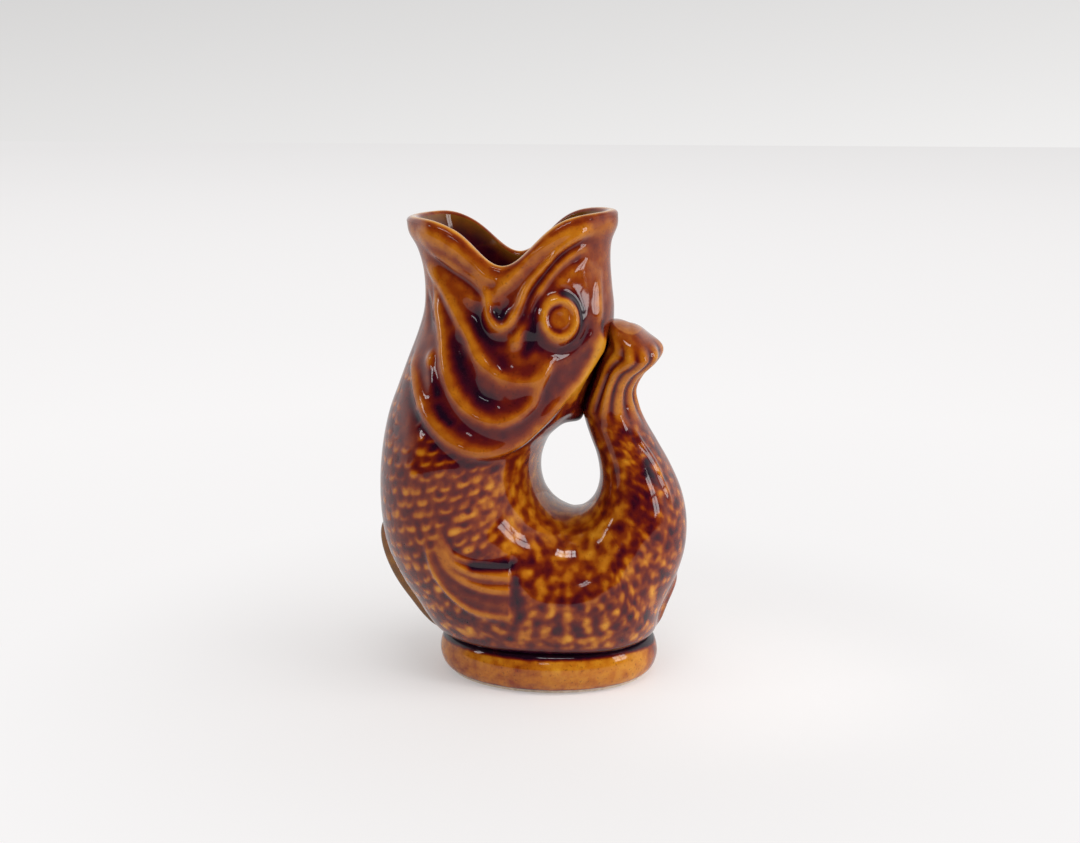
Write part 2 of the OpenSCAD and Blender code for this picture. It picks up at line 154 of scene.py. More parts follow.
def skinPoint(s, angle, off=0, lift=0, seated=False):
    # s runs along the fish in stations, angle round it from the belly's side
    s, angle = np.broadcast_arrays(np.asarray(s, float), np.asarray(angle, float))
    row = smoothRow(stations, s)
    outer, inner = row[..., 0:2], row[..., 2:4]
    arm = (outer - inner) / 2
    reach = np.linalg.norm(arm, axis=-1)
    middle = (outer + inner) / 2 + arm * (np.cos(angle) * (reach + off) / reach)[..., None]
    notch = row[..., 5] * hump(reach * np.cos(angle), jug["notchSpread"])
    z = middle[..., 1] - notch + lift
    if seated:
        z = roundedMax(z, jug["footHeight"] - np.minimum(off, 0), jug["creaseRound"])
    return np.stack([middle[..., 0], (row[..., 4] + off) * np.sin(angle), z], axis=-1)


def placeOf(points, span=(0, 21)):
    # the station and angle of points of the side view, found by halving
    p = np.asarray(points, float)
    low, high = np.full(len(p), float(span[0])), np.full(len(p), float(span[1]))
    for _ in range(18):
        s = (low + high) / 2
        row = smoothRow(stations, s)
        arm, middle = (row[:, 0:2] - row[:, 2:4]) / 2, (row[:, 0:2] + row[:, 2:4]) / 2
        reach = np.linalg.norm(arm, axis=1)
        first = ((p - middle) * arm).sum(1) / reach ** 2
        level = p - middle
        level[:, 1] += row[:, 5] * hump(reach * first, jug["notchSpread"])
        side = level[:, 0] * arm[:, 1] - level[:, 1] * arm[:, 0]
        low, high = np.where(side < 0, s, low), np.where(side < 0, high, s)
    return s, np.arccos(np.clip((level * arm).sum(1) / reach ** 2, -1, 1))


runStep = 0.4   # between the points of a curve once it lies on the skin


def onSkin(points, step=runStep, span=(0, 21)):
    # a curve of the side view, laid on the skin and cut into short steps
    points = np.asarray(points, float)
    line = smoothRow(points, np.linspace(0, len(points) - 1, 8 * len(points)))
    length = np.r_[0, np.cumsum(np.linalg.norm(np.diff(line, axis=0), axis=1))]
    even = np.linspace(0, length[-1], max(4, int(length[-1] / step)))
    line = np.stack([np.interp(even, length, line[:, k]) for k in (0, 1)], axis=1)
    s, angle = placeOf(line, span)
    return skinPoint(s, angle, seated=True)


# The relief of the face and fins. Each run is x and z in millimetres, seen from the side. "height" is how
# far it stands out, "left" and "right" how far it spreads to either side, "ends" over what length it fades.
relief = {
    "lipBandLeft": {"height": 0.55, "left": 2.6, "right": 2.4, "ends": (3, 3), "run": [(-33, 122),
        (-28, 120.5), (-23, 118), (-18, 114.6), (-14.8, 111.6), (-13, 109)]},
    "lipBandRight": {"height": 0.8, "left": 1.2, "right": 1.3, "ends": (3, 5), "run": [(-13.4, 105.4),
        (-11.4, 107.6), (-9.1, 109.9), (-5.8, 113.8), (-2.2, 117.6), (2.5, 121), (8, 123.6), (14, 125)]},
    "mouthCorner": {"height": -0.9, "left": 1.1, "right": 1.1, "ends": (1.5, 3), "run": [(-11.8, 104.4),
        (-11.2, 102.6), (-9.9, 102.4), (-9, 104.2), (-8.2, 106.4)]},
    "lipGrooveLeft": {"height": -0.6, "left": 1.0, "right": 1.0, "ends": (6, 3), "run": [(-31.4, 117),
        (-29.6, 115.9), (-26.4, 114.3), (-23.3, 112.6), (-19.8, 110.8), (-17, 108.6), (-15.7, 105.6)]},
    "lipLower": {"height": 0.65, "left": 1.3, "right": 1.4, "ends": (6, 4), "run": [(-32, 118.6),
        (-29.1, 117.5), (-25.6, 115.9), (-22.3, 114), (-19, 111.9), (-15.6, 110), (-14, 107.4),
        (-13.3, 105)]},
    "lipCurl": {"height": 1.4, "left": 0.95, "right": 0.95, "ends": (5, 8), "run": [(-14.2, 109.4),
        (-13.5, 106.6), (-13.2, 103.8), (-12.6, 101.4), (-11.5, 99.6), (-10, 99), (-8.3, 99.8),
        (-6.8, 101.6), (-5.4, 104.2), (-4.1, 107.8), (-2.7, 110.3), (-0.8, 112.6), (1.6, 115.4),
        (4.2, 118.4), (7.4, 120.8), (11.2, 122.6), (14.4, 123.4)]},
    "underCurl": {"height": -1.0, "left": 1.6, "right": 1.6, "ends": (4, 3), "run": [(-16.8, 106),
        (-16.3, 102.4), (-15.4, 99), (-12.8, 96.4), (-9.4, 95.6), (-7.4, 96.8)]},
    "lipGrooveRight": {"height": -0.7, "left": 0.9, "right": 0.9, "ends": (3, 5), "run": [(-8.2, 96.6),
        (-6.2, 98.4), (-4.7, 101.2), (-3.5, 104.8), (-2, 108.2), (-0.1, 111), (1.9, 113.9), (4.3, 116.8),
        (7.2, 119.2), (10.8, 120.8), (13.8, 121.2)]},
    "cheekRidge": {"height": 1.0, "left": 1.7, "right": 1.4, "ends": (5, 7), "run": [(-32, 114),
        (-29.4, 111.8), (-27, 109.4), (-25, 106.8), (-23.4, 104.2), (-21.6, 101.6), (-19.6, 98.6),
        (-17.4, 95.2), (-15.3, 91.5), (-12.4, 88.7), (-9.1, 86.6), (-5.6, 85.4), (-2.1, 85.6), (0.4, 87.3),
        (2.1, 90.3)]},
    "cheekPool": {"height": -0.7, "left": 2.4, "right": 2.4, "ends": (5, 5), "run": [(-20.8, 106.5),
        (-18.8, 102.4), (-15.8, 97.4), (-12.6, 93.2), (-9, 90.8), (-5.2, 90.4)]},
    "gillRidge": {"height": 1.15, "left": 2.0, "right": 1.6, "ends": (5, 7), "run": [(-28.3, 106.5),
        (-27.6, 103), (-26.4, 98.6), (-25.5, 94.7), (-24.9, 90.5), (-23.7, 86.4), (-21.8, 82.7),
        (-19.3, 79.6), (-16, 77), (-12, 75.4), (-8, 75.6), (-4.3, 77.6), (-1.8, 80), (-0.6, 83.4),
        (0.8, 86.7), (3, 90.3), (4.5, 92.6)]},
    "gillPool": {"height": -1.0, "left": 3.0, "right": 2.2, "ends": (5, 4), "run": [(-23.4, 98),
        (-22, 93.4), (-20.2, 89), (-17.8, 85), (-14.8, 82), (-11.4, 81), (-9, 82)]},
    "gillEdge": {"height": 1.25, "left": 2.6, "right": 1.3, "ends": (7, 5), "run": [(-34.6, 91.7),
        (-34.4, 88), (-33.4, 84.6), (-32, 80.6), (-29.5, 76.6), (-25.8, 72.8), (-21.9, 70), (-17.3, 68),
        (-12.6, 67.3), (-8.4, 68), (-4.2, 70), (0, 73.9), (3.5, 77.6), (6.8, 81.7), (10, 86), (13, 91),
        (15.6, 96)]},
    "gillShadow": {"height": -0.35, "left": 1.3, "right": 2.2, "ends": (8, 6), "run": [(-36.3, 88),
        (-35, 83), (-33.8, 79), (-31, 74.6), (-27, 70.7), (-22.8, 67.6), (-17.6, 65.4), (-12.4, 64.6),
        (-7.6, 65.4)]},
    "throatLine": {"height": 0.6, "left": 1.1, "right": 1.1, "ends": (5, 4), "run": [(-29.2, 110),
        (-27.9, 106), (-26.9, 102.4)]},
    "throatGroove": {"height": -0.6, "left": 1.4, "right": 1.6, "ends": (5, 5), "run": [(-31.6, 108),
        (-30.8, 103), (-29.8, 98.5), (-28.4, 95)]},
    "throatDrop": {"height": 0.7, "left": 1.7, "right": 2.2, "ends": (4, 4), "run": [(-29.6, 93),
        (-28.8, 89), (-27.8, 85), (-26.6, 81), (-25.9, 79)]},
    "throatBead": {"height": 0.8, "left": 1.3, "right": 1.3, "ends": (2, 2), "run": [(-28.9, 92.6),
        (-28.4, 90.4), (-28, 88.4)]},
    "throatDimple": {"height": -0.55, "left": 0.8, "right": 0.8, "ends": (2, 2), "run": [(-27.2, 84.6),
        (-26.6, 82), (-26.2, 80.4)]},
    "gillDrop": {"height": 0.1, "left": 1.8, "right": 1.8, "ends": (4, 2), "run": [(-35.4, 79), (-35, 75.4),
        (-34.4, 72), (-33.6, 70)]},
    "nostril": {"height": 0.9, "left": 1.5, "right": 1.3, "ends": (2.5, 4), "run": [(-5.4, 93.4),
        (-5.9, 96), (-5, 99), (-3.4, 102.4)]},
    "nostrilPool": {"height": -0.7, "left": 1.6, "right": 1.9, "ends": (2, 2), "run": [(-1.6, 98),
        (-2.2, 95), (-1.6, 92.4)]},
    "browRidge": {"height": 0.6, "left": 1.0, "right": 1.0, "ends": (4, 5), "run": [(-3.8, 101.2),
        (-2.3, 105), (-0.5, 108.2), (1.6, 111), (5.2, 115.2), (8.8, 118), (12.6, 119.6)]},
    "browFlat": {"height": -0.4, "left": 3.4, "right": 3.0, "ends": (4, 4), "run": [(5, 110.6),
        (7.4, 109.6), (9.6, 107.4), (10.8, 104), (11.2, 100)]},
    "browGroove": {"height": -0.55, "left": 0.9, "right": 0.9, "ends": (3, 3), "run": [(1, 107.6),
        (2.4, 110), (4, 112.2), (6.8, 114.6), (9.6, 116), (11.6, 117)]},
    "browPit": {"height": -0.4, "left": 0.8, "right": 0.8, "ends": (1.5, 1.5), "run": [(13, 116.2),
        (12.9, 115), (12.7, 114)]},
    "crownLine": {"height": 0.6, "left": 1.3, "right": 1.3, "ends": (5, 4), "run": [(14.4, 113), (14, 109),
        (14.2, 105), (14.2, 101), (13.2, 97.6)]},
    "eyeSocket": {"height": -0.7, "left": 1.5, "right": 1.4, "ends": (4, 4), "run": [(-0.6, 97), (0.6, 94),
        (3.6, 92.4), (7, 92.6), (10, 94.4), (12, 98), (12.4, 102)]},
    "backEdge": {"height": 0.85, "left": 1.9, "right": 1.9, "ends": (4, 5), "run": [(15.3, 98),
        (14.3, 92.8), (12.2, 88.2), (10.1, 84.4), (7.7, 80.2), (5.6, 76.8)]},
    "finLead": {"height": 0.7, "left": 0.8, "right": 0.6, "ends": (5, 3), "run": [(-29.2, 45),
        (-28.7, 40.7), (-27.3, 34.9), (-24.2, 29.7), (-20.2, 25.9), (-15.1, 23.2), (-8, 21.8)]},
    "finHollow": {"height": -0.35, "left": 1.8, "right": 1.3, "ends": (5, 4), "run": [(-24.6, 47),
        (-22.4, 42.6), (-19.6, 39.6), (-16, 38), (-12, 37.2), (-7, 36.8), (-3, 36.4)]},
    "finEnd": {"height": -0.15, "left": 1.5, "right": 1.2, "ends": (3, 3), "run": [(-5.6, 35.4), (-5.6, 28),
        (-5.8, 20.6)]},
    "tailLine": {"height": 0.55, "left": 0.8, "right": 0.9, "ends": (4, 5), "span": (17, 30), "run": [
        (23.3, 71.7), (25.2, 67.8), (28, 63.8), (30, 60.4), (31, 58), (33, 53.5), (34.2, 49.3)]}}
eye = {"at": (4.8, 101.3), "radius": (4.1, 4.6), "ringWidth": 1.5, "ringHeight": 1.5,
       "disc": 0.75, "discEdge": (0.5, 0.85), "groove": 0.45, "grooveAt": (0.74, 0.1),
       "pupil": 0.15, "pupilSize": 0.2, "socket": 0.35, "socketAt": (1.62, 0.2)}
# Places where the glaze has pooled dark on its own, or below nought run thin, and a few bands of painted
# shade beside raised parts: how wide, and how dark
pools = {
    "finBlot": {"width": 1.5, "dark": 2.4, "run": [(-16.2, 37.4), (-14, 37.4), (-11, 37.3), (-8.6, 37.3)]},
    # painted shadow beside the side fin's back end
    "finEndShade": {"width": 1.1, "dark": 1.0, "run": [(-5.9, 35), (-5.8, 28), (-6, 21.8)]},
    "finBlotEnd": {"width": 1.2, "dark": 0.8, "run": [(-7, 36.6), (-4.4, 36.6), (-1.5, 36.8)]},
    "cornerDark": {"width": 1.2, "dark": 1.3, "run": [(-11.6, 103), (-11, 102.2), (-10.2, 102.4)]},
    "nostrilDark": {"width": 1.5, "dark": 0.8, "run": [(-2.2, 97.6), (-2.6, 95), (-3.4, 92.8)]},
    "underHole": {"width": 4, "dark": 0.45, "run": [(-3, 33), (4, 31.5), (11, 33)]},
    "keelBlot": {"width": 1.2, "dark": 1.2, "span": (17, 30), "run": [(27, 62.6), (28, 60.6),
        (28.4, 58.8)]},
    "tailBlot": {"width": 2.2, "dark": 0.8, "span": (17, 30), "run": [(24.4, 55), (26, 52), (28, 49.8)]},
    "throatBlot": {"width": 1.2, "dark": 1.2, "run": [(-25.8, 78.4), (-24.4, 76.6), (-22.6, 75.2)]},
    "dropDark": {"width": 1.2, "dark": 1.2, "run": [(-28, 86.6), (-27.2, 84.6), (-26.2, 82)]},
    # painted shade: the shadow groove over the eye's ring
    "eyeTopShade": {"width": 1.1, "dark": 2.0, "run": [(5.4, 107.4), (7, 106.9), (8.6, 105.4), (10, 103.6),
        (10.2, 102)]},
    "eyeUnder": {"width": 0.9, "dark": 0.8, "run": [(10.4, 100.6), (9.8, 97.8), (7.6, 95.4)]},
    "eyeCentre": {"width": 1.4, "dark": -0.7, "run": [(4.8, 100.6), (5.6, 102.2)]},
    "eyeGold": {"width": 0.9, "dark": -0.5, "run": [(0.7, 101.3), (1.9, 104.5), (4.8, 105.9), (7.7, 104.5),
        (8.9, 101.3), (7.7, 98.1), (4.8, 96.7), (1.9, 98.1), (0.7, 101.3)]},
    "eyeGroove": {"width": 0.6, "dark": 0.9, "run": [(4.6, 104.4), (2.8, 103.6), (2, 101.3), (2.8, 99),
        (4.6, 98.2)]},
    # painted shade: the shadow groove left of the eye's ring
    "eyeSideShade": {"width": 1.3, "dark": 0.6, "run": [(-1, 106), (-1.6, 102.6), (-1.6, 99)]},
    "backGold": {"width": 1.7, "dark": -1.0, "run": [(14.2, 95), (13.2, 92.4), (11.2, 88.2), (9.2, 84.4),
        (6.8, 80.4), (5, 77.2)]},
    "backRed": {"width": 0.8, "dark": 1.2, "run": [(15, 99), (15, 97.2), (14.9, 95.8)]}}
lipBead = {"height": 0.95, "below": 3.0, "spread": 2.8, "last": 3}


def pooled(base):
    # how dark the pooled places and the painted shade make each point
    dark = np.zeros(base.shape[:2])
    x, y, z = np.moveaxis(base, -1, 0)
    for pool in pools.values():
        line = onSkin(pool["run"], step=0.6, span=pool.get("span", (0, 21)))
        near = np.stack([(x - p[0]) ** 2 + (np.abs(y) - p[1]) ** 2 + (z - p[2]) ** 2 for p in line])
        dark += pool["dark"] * np.exp(-near.min(0) / pool["width"] ** 2)
    return dark


def reliefHeight(base):
    # how far the relief lifts each point of the bare skin, the same on both sides of the fish
    q = np.column_stack([base[:, 0], np.abs(base[:, 1]), base[:, 2]]).astype(np.float32)
    height = np.zeros(len(q))
    for curve in relief.values():
        line = onSkin(curve["run"], span=curve.get("span", (0, 21))).astype(np.float32)
        reach = 3.2 * max(curve["left"], curve["right"])
        low, high = line.min(0) - reach, line.max(0) + reach
        pick = np.flatnonzero(((q > low) & (q < high)).all(1))
        length = np.arange(len(line)) * runStep
        fade = np.clip((length + runStep / 2) / curve["ends"][0], 0, 1)
        fade = fade * np.clip((length[-1] - length + runStep / 2) / curve["ends"][1], 0, 1)
        fade = fade * fade * (3 - 2 * fade)
        run = np.gradient(line, axis=0)
        run /= np.linalg.norm(run, axis=1)[:, None]
        for part in np.array_split(pick, max(1, len(pick) // 20000)):
            apart = (q[part] ** 2).sum(1)[:, None] + (line ** 2).sum(1)[None] - 2 * q[part] @ line.T
            k = apart.argmin(1)
            delta = q[part] - line[k]
            shift = (delta * run[k]).sum(1)
            inside = (k > 0) & (k < len(line) - 1)
            square = (delta ** 2).sum(1) - np.where(inside, shift ** 2, 0)
            side = run[k, 0] * delta[:, 2] - run[k, 2] * delta[:, 0]
            spread = np.where(side > 0, curve["left"], curve["right"])
            ends = np.interp(k + np.where(inside, shift / runStep, 0), np.arange(len(line)), fade)
            height[part] += curve["height"] * ends * np.exp(-square / spread ** 2)
    centre = onSkin([eye["at"], (eye["at"][0], eye["at"][1] + 0.5)])[0]
    far = np.linalg.norm((q - centre) / [eye["radius"][0], eye["radius"][0], eye["radius"][1]], axis=1)
    size = sum(eye["radius"]) / 2
    height += eye["ringHeight"] * hump((far - 1) * size, eye["ringWidth"])
    height += eye["disc"] * (1 - smoothStep(*eye["discEdge"], far))
    height -= eye["pupil"] * hump(far, eye["pupilSize"])
    for hollow in ("groove", "socket"):
        place, spread = eye[hollow + "At"]
        height -= eye[hollow] * hump(far - place, spread)
    return height


# Meshes from grids of points
def gridNormals(grid):
    # outward normals of a grid that closes round its second axis
    down = np.gradient(grid, axis=0)
    across = np.roll(grid, -1, axis=1) - np.roll(grid, 1, axis=1)
    normal = np.cross(across, down)
    return normal / np.maximum(np.linalg.norm(normal, axis=-1), 1e-9)[..., None]


def quads(n, m, start=0):
    i, j = np.meshgrid(np.arange(n - 1), np.arange(m), indexing="ij")
    a, b = i * m + j, i * m + (j + 1) % m
    return (np.stack([a, b, b + m, a + m], axis=-1).reshape(-1, 4) + start).tolist()


def bridge(many, few, flip=False):
    # joins two loops of corners, where one has a whole number of times as many as the other
    k, faces = len(many) // len(few), []
    for j, corner in enumerate(few):
        beyond = few[(j + 1) % len(few)]
        run = [many[(j * k + i) % len(many)] for i in range(k + 1)]
        faces += [[run[i], run[i + 1], corner] for i in range(k // 2)]
        faces.append([run[k // 2], beyond, corner])
        faces += [[run[i], run[i + 1], beyond] for i in range(k // 2, k)]
    return [face[::-1] for face in faces] if flip else faces


def fan(loop, flip=False):
    faces = [[loop[0], loop[j], loop[j + 1]] for j in range(1, len(loop) - 1)]
    return [face[::-1] for face in faces] if flip else faces


def makeMesh(name, points, faces, normals=None, attributes=None):
    mesh = bpy.data.meshes.new(name)
    mesh.from_pydata((np.asarray(points) * millimetre).tolist(), [], faces)
    mesh.validate()
    for key, values in (attributes or {}).items():
        mesh.attributes.new(key, "FLOAT", "POINT").data.foreach_set("value", np.asarray(values, np.float32))
    mesh.shade_smooth()
    if normals is not None:
        mesh.normals_split_custom_set_from_vertices(np.asarray(normals).tolist())
    piece = bpy.data.objects.new(name, mesh)
    bpy.context.scene.collection.objects.link(piece)
    return piece


def blurred(values, rings, columns):
    # softens a grid of values, round its second axis and along its first
    for axis, size in ((1, columns), (0, rings)):
        kernel = np.exp(-0.5 * (np.arange(-3 * size, 3 * size + 1) / size) ** 2)
        kernel /= kernel.sum()
        pad = [(0, 0), (0, 0)]
        pad[axis] = (3 * size, 3 * size)
        wide = np.pad(values, pad, mode="wrap" if axis == 1 else "edge")
        values = np.apply_along_axis(lambda line: np.convolve(line, kernel, mode="valid"), axis, wide)
    return values


print("skin ready")


# Node trees: scales on the skin, fin rays and fluke ridges
class Tree:
    # a node tree with a few short calls for making and joining nodes
    def __init__(self, tree):
        self.tree = tree

    def put(self, value, socket):
        if hasattr(value, "is_output"):
            self.tree.links.new(value, socket)
        else:
            socket.default_value = value

    def add(self, kind, *inputs, **settings):
        node = self.tree.nodes.new(kind)
        for key, value in settings.items():
            setattr(node, key, value)
        for value, socket in zip(inputs, node.inputs):
            if value is not None:
                self.put(value, socket)
        return node

    def math(self, operation, *inputs):
        return self.add("ShaderNodeMath", *inputs, operation=operation).outputs[0]

    def plus(self, a, b):
        return self.math("ADD", a, b)

    def minus(self, a, b):
        return self.math("SUBTRACT", a, b)

    def times(self, a, b):
        return self.math("MULTIPLY", a, b)

    def noise(self, place, scale, detail, roughness=0.5):
        return self.add("ShaderNodeTexNoise", place, None, scale, detail, roughness).outputs

    def range(self, value, fromLow, fromHigh, low=0.0, high=1.0, kind="SMOOTHSTEP"):
        inputs = (value, fromLow, fromHigh, low, high)
        return self.add("ShaderNodeMapRange", *inputs, interpolation_type=kind).outputs[0]

    def tones(self, value, stops):
        # a colour ramp, as pairs of a place and a colour
        node = self.add("ShaderNodeValToRGB", value)
        elements = node.color_ramp.elements
        while len(elements) < len(stops):
            elements.new(0.5)
        for element, (at, colour) in zip(elements, stops):
            element.position, element.color = at, (*colour, 1)
        return node.outputs[0]

    def mix(self, share, a, b, blend="MIX"):
        node = self.add("ShaderNodeMix", share, data_type="RGBA", blend_type=blend)
        self.put(a, node.inputs[6])
        self.put((*b, 1), node.inputs[7])
        return node.outputs[2]

    def attribute(self, name):
        return self.add("ShaderNodeAttribute", attribute_name=name).outputs["Fac"]

    def named(self, name, kind="FLOAT"):
        return self.add("GeometryNodeInputNamedAttribute", name, data_type=kind).outputs[0]

    def keep(self, geometry, name, value):
        kept = self.add("GeometryNodeStoreNamedAttribute", geometry, data_type="FLOAT", domain="POINT")
        self.put(name, kept.inputs["Name"])
        self.put(value, kept.inputs["Value"])
        return kept.outputs[0]

    def lift(self, geometry, height, mask, name):
        # moves each point along its stored outward direction, and keeps how far
        amount = self.times(height, mask)
        away = self.add("ShaderNodeVectorMath", self.named("outward", "FLOAT_VECTOR"), operation="SCALE")
        self.put(amount, away.inputs["Scale"])
        moved = self.add("GeometryNodeSetPosition", geometry)
        self.put(away.outputs[0], moved.inputs["Offset"])
        return self.keep(moved.outputs[0], name, amount)

    def close(self, geometry, material):
        real = self.add("GeometryNodeRealizeInstances", geometry)
        painted = self.add("GeometryNodeSetMaterial", real.outputs[0])
        self.put(material, painted.inputs["Material"])
        self.add("NodeGroupOutput", painted.outputs[0])
        return self.tree


def newGroup(name, kind, outputs, inputs):
    # a node group: each socket is given its kind by name, or a number to start from
    tree = bpy.data.node_groups.new(name, kind)
    for way, sockets in (("OUTPUT", outputs), ("INPUT", inputs)):
        for key, value in sockets.items():
            sort = value if isinstance(value, str) else {int: "Int", float: "Float"}[type(value)]
            made = tree.interface.new_socket(key, in_out=way, socket_type="NodeSocket" + sort)
            if not isinstance(value, str):
                made.default_value = value
    return Tree(tree), tree.nodes.new("NodeGroupInput").outputs


def scaleTree():
    # rows of fish scales, each row half a scale on from the last, highest at their lower, rounded edge
    t, start = newGroup("fishScales", "GeometryNodeTree", {"Geometry": "Geometry"}, {
        "Geometry": "Geometry", "Scale height": 0.0001, "Unevenness": 0.12, "Roundness": 0.9,
        "Hollow width": 0.3, "Hollow height": 0.35, "Warp": 0.3, "Seed": 3, "Glaze": "Material"})
    m, plus, minus, times = t.math, t.plus, t.minus, t.times
    # shares of a scale
    edgeAt, riseOver, dropOver, gap, hollowEdge = 0.30, 0.6, 0.36, (0.14, 0.46), (0.3, 1.4)
    wobble = t.noise(t.add("GeometryNodeInputPosition").outputs[0], 210.0, 1.0)["Color"]
    split = t.add("ShaderNodeSeparateXYZ", wobble).outputs
    along = plus(t.named("scaleAlong"), times(minus(split[0], 0.5), start["Warp"]))
    across = plus(t.named("scaleAcross"), times(minus(split[1], 0.5), start["Warp"]))
    row = m("FLOOR", along)
    shifted = plus(across, times(m("FLOORED_MODULO", row, 2.0), 0.5))
    column = m("FLOOR", shifted)
    cell = plus(times(plus(row, 200.0), 512.0), plus(column, 256.0))

    def uneven(step):
        low = times(start["Unevenness"], -1.0)
        seed = plus(start["Seed"], float(step))
        inputs = (None, None, low, start["Unevenness"], None, None, None, cell, seed)
        return t.add("FunctionNodeRandomValue", *inputs, data_type="FLOAT").outputs[1]

    x = plus(minus(minus(shifted, column), 0.5), uneven(0))
    y = plus(minus(minus(along, row), 0.5), uneven(1))
    edge = minus(edgeAt, times(times(x, x), start["Roundness"]))
    rise = t.range(minus(edge, y), riseOver, 0.0)
    drop = t.range(minus(y, edge), 0.0, dropOver, 1.0, 0.0)
    crescent = times(times(rise, drop), t.range(m("ABSOLUTE", x), *gap, 1.0, 0.0))
    wide, tall = m("DIVIDE", x, start["Hollow width"]), m("DIVIDE", y, start["Hollow height"])
    far = m("SQRT", plus(times(wide, wide), times(tall, tall)))
    depth = m("MINIMUM", m("MAXIMUM", plus(0.9, times(uneven(2), 2.5)), 0.0), 1.0)
    hollow = times(t.range(far, *hollowEdge, 1.0, 0.0), depth)
    shape = times(minus(1.0, hollow), plus(0.08, times(crescent, 0.92)))
    kept = t.keep(start["Geometry"], "crescent", times(shape, t.named("scaleMask")))
    height = times(shape, start["Scale height"])
    return t.close(t.lift(kept, height, t.named("scaleRise"), "scaleLift"), start["Glaze"])


def ridgeTree():
    # an even count of rounded ridges across a surface, such as fin rays or the fluke's ribs
    t, start = newGroup("finRays", "GeometryNodeTree", {"Geometry": "Geometry"}, {
        "Geometry": "Geometry", "Ray height": 0.0005, "Rays": 6.0, "Sharpness": 0.7, "Unevenness": 0.2,
        "Glaze": "Material"})
    m, plus, minus, times = t.math, t.plus, t.minus, t.times
    wobble = t.noise(t.add("GeometryNodeInputPosition").outputs[0], 110.0, 0.0)[0]
    wobble = times(minus(wobble, 0.5), start["Unevenness"])
    turns = plus(times(t.named("rayAcross"), start["Rays"]), wobble)
    wave = m("COSINE", times(turns, 2 * math.pi))
    crest = m("POWER", m("MAXIMUM", times(plus(wave, 1.0), 0.5), 0.0), start["Sharpness"])
    crest = times(minus(crest, 0.5), plus(1.0, wobble))
    height = times(crest, start["Ray height"])
    return t.close(t.lift(start["Geometry"], height, t.named("rayMask"), "rayLift"), start["Glaze"])


trees = {"scales": scaleTree(), "rays": ridgeTree()}


def throughTree(grid, normals, fields, tree, settings, store):
    # puts a grid of points through a tree, and gives back the moved points and what it stored
    n, m = grid.shape[:2]
    mesh = bpy.data.meshes.new("grid")
    mesh.from_pydata((grid.reshape(-1, 3) * millimetre).tolist(), [], quads(n, m))
    for key, values in fields.items():
        attribute = mesh.attributes.new(key, "FLOAT", "POINT")
        attribute.data.foreach_set("value", values.astype(np.float32).ravel())
    outward = mesh.attributes.new("outward", "FLOAT_VECTOR", "POINT")
    outward.data.foreach_set("vector", normals.astype(np.float32).ravel())
    piece = bpy.data.objects.new("grid", mesh)
    bpy.context.scene.collection.objects.link(piece)
    modifier = piece.modifiers.new("rows", "NODES")
    modifier.node_group = tree
    for item in tree.interface.items_tree:
        if item.item_type == "SOCKET" and item.in_out == "INPUT" and item.name in settings:
            modifier[item.identifier] = settings[item.name]
    result = bpy.data.meshes.new_from_object(piece.evaluated_get(bpy.context.evaluated_depsgraph_get()))
    points, kept = np.empty(n * m * 3, np.float32), np.empty(n * m, np.float32)
    result.vertices.foreach_get("co", points)
    result.attributes[store].data.foreach_get("value", kept)
    piece.modifiers.clear()
    bpy.data.objects.remove(piece)
    bpy.data.meshes.remove(mesh)
    bpy.data.meshes.remove(result)
    return points.reshape(n, m, 3).astype(float) / millimetre, kept.reshape(n, m).astype(float)


print("trees ready")


# The look of the scales, fin rays and fluke, shared by the pieces that they run over. Places along the fish
# are in stations, places round it in degrees from the belly's side.
scaleLook = {"across": 4.4, "acrossBehind": 3.0, "behindFrom": (13, 17), "rowsPerStation": 1.95,
             "height": 0.15, "unevenness": 0.20, "roundness": 1.1, "hollow": (0.34, 0.38), "warp": 0.65,
             "seed": 4, "contrast": 4.2, "shade": 0.22, "end": (27.4, 28.6), "bottom": (12.2, 14.6),
             "innerSide": (130, 165), "innerLoss": 0.5, "keelGap": 2.2, "keelLoss": 0.7,
             "dropGap": (2.0, 3.6), "gillGap": (-4.0, -1.4), "throatTop": 92, "throatHalf": 8,
             "raisedFront": (12, 34, 56, 84), "spanFront": (15, 17), "raisedBehind": (20, 45, 70, 100),
             "spanBehind": (16, 18, 19, 21), "riseBehind": 0.5, "fadeFrom": (108, 82), "fadeAt": (13, 16),
             "fadeOver": 30, "tailFade": (19, 23), "tailLoss": 0.5}
finLook = {"rays": 3.5, "height": 0.5, "sharpness": 0.9, "unevenness": 0.15, "rise": 0.45,
           "spread": (-0.1, 0.06, 1.0, 1.28), "begins": (0.0, 0.3), "ends": (-7.9, -6.9), "reach": 2,
           "clearOfKeel": 10, "heights": (16, 52), "raysFrom": (0.3, 0.6), "raysLeft": (-25, -18.5),
           "rayLeast": 0.25,
           "lower": [(-29.2, 45.2), (-28.7, 40.7), (-27.3, 34.9), (-24.2, 29.7), (-20.2, 25.9),
                     (-15.1, 23.4), (-7.6, 22.3)],
           "upper": [(-25.8, 48), (-24, 43.4), (-21.6, 39.6), (-17.2, 37.4), (-12.6, 36.4), (-7.6, 36)]}
flukeLook = {"rings": 90, "columns": 312, "capRings": 15, "rays": 11, "height": 0.7, "sharpness": 0.8,
             "unevenness": 0.5, "rayEnds": (27.6, 29.6, 33.2, 34.4), "rayBack": (125, 145),
             "top": (33, 35), "dome": 1.1, "domeLean": 0.1, "lift": 1.3, "liftEnds": (23, 28.5),
             "sag": 0.020, "narrow": 0.1, "narrowAt": (31, 34), "toHead": (-2.4, 0, 1.0),
             "toHeadSide": (60, 150), "capTone": 0.5}
keelLook = {"belly": {"span": (12.3, 16.3), "rise": 4.2, "width": 1.6},
            "tail": {"span": (20.3, 22.0), "rise": 1.4, "width": 1.4}}
keelSide, keelSharpness = 60, 2.4   # degrees that a keel can reach, and how steep its sides are
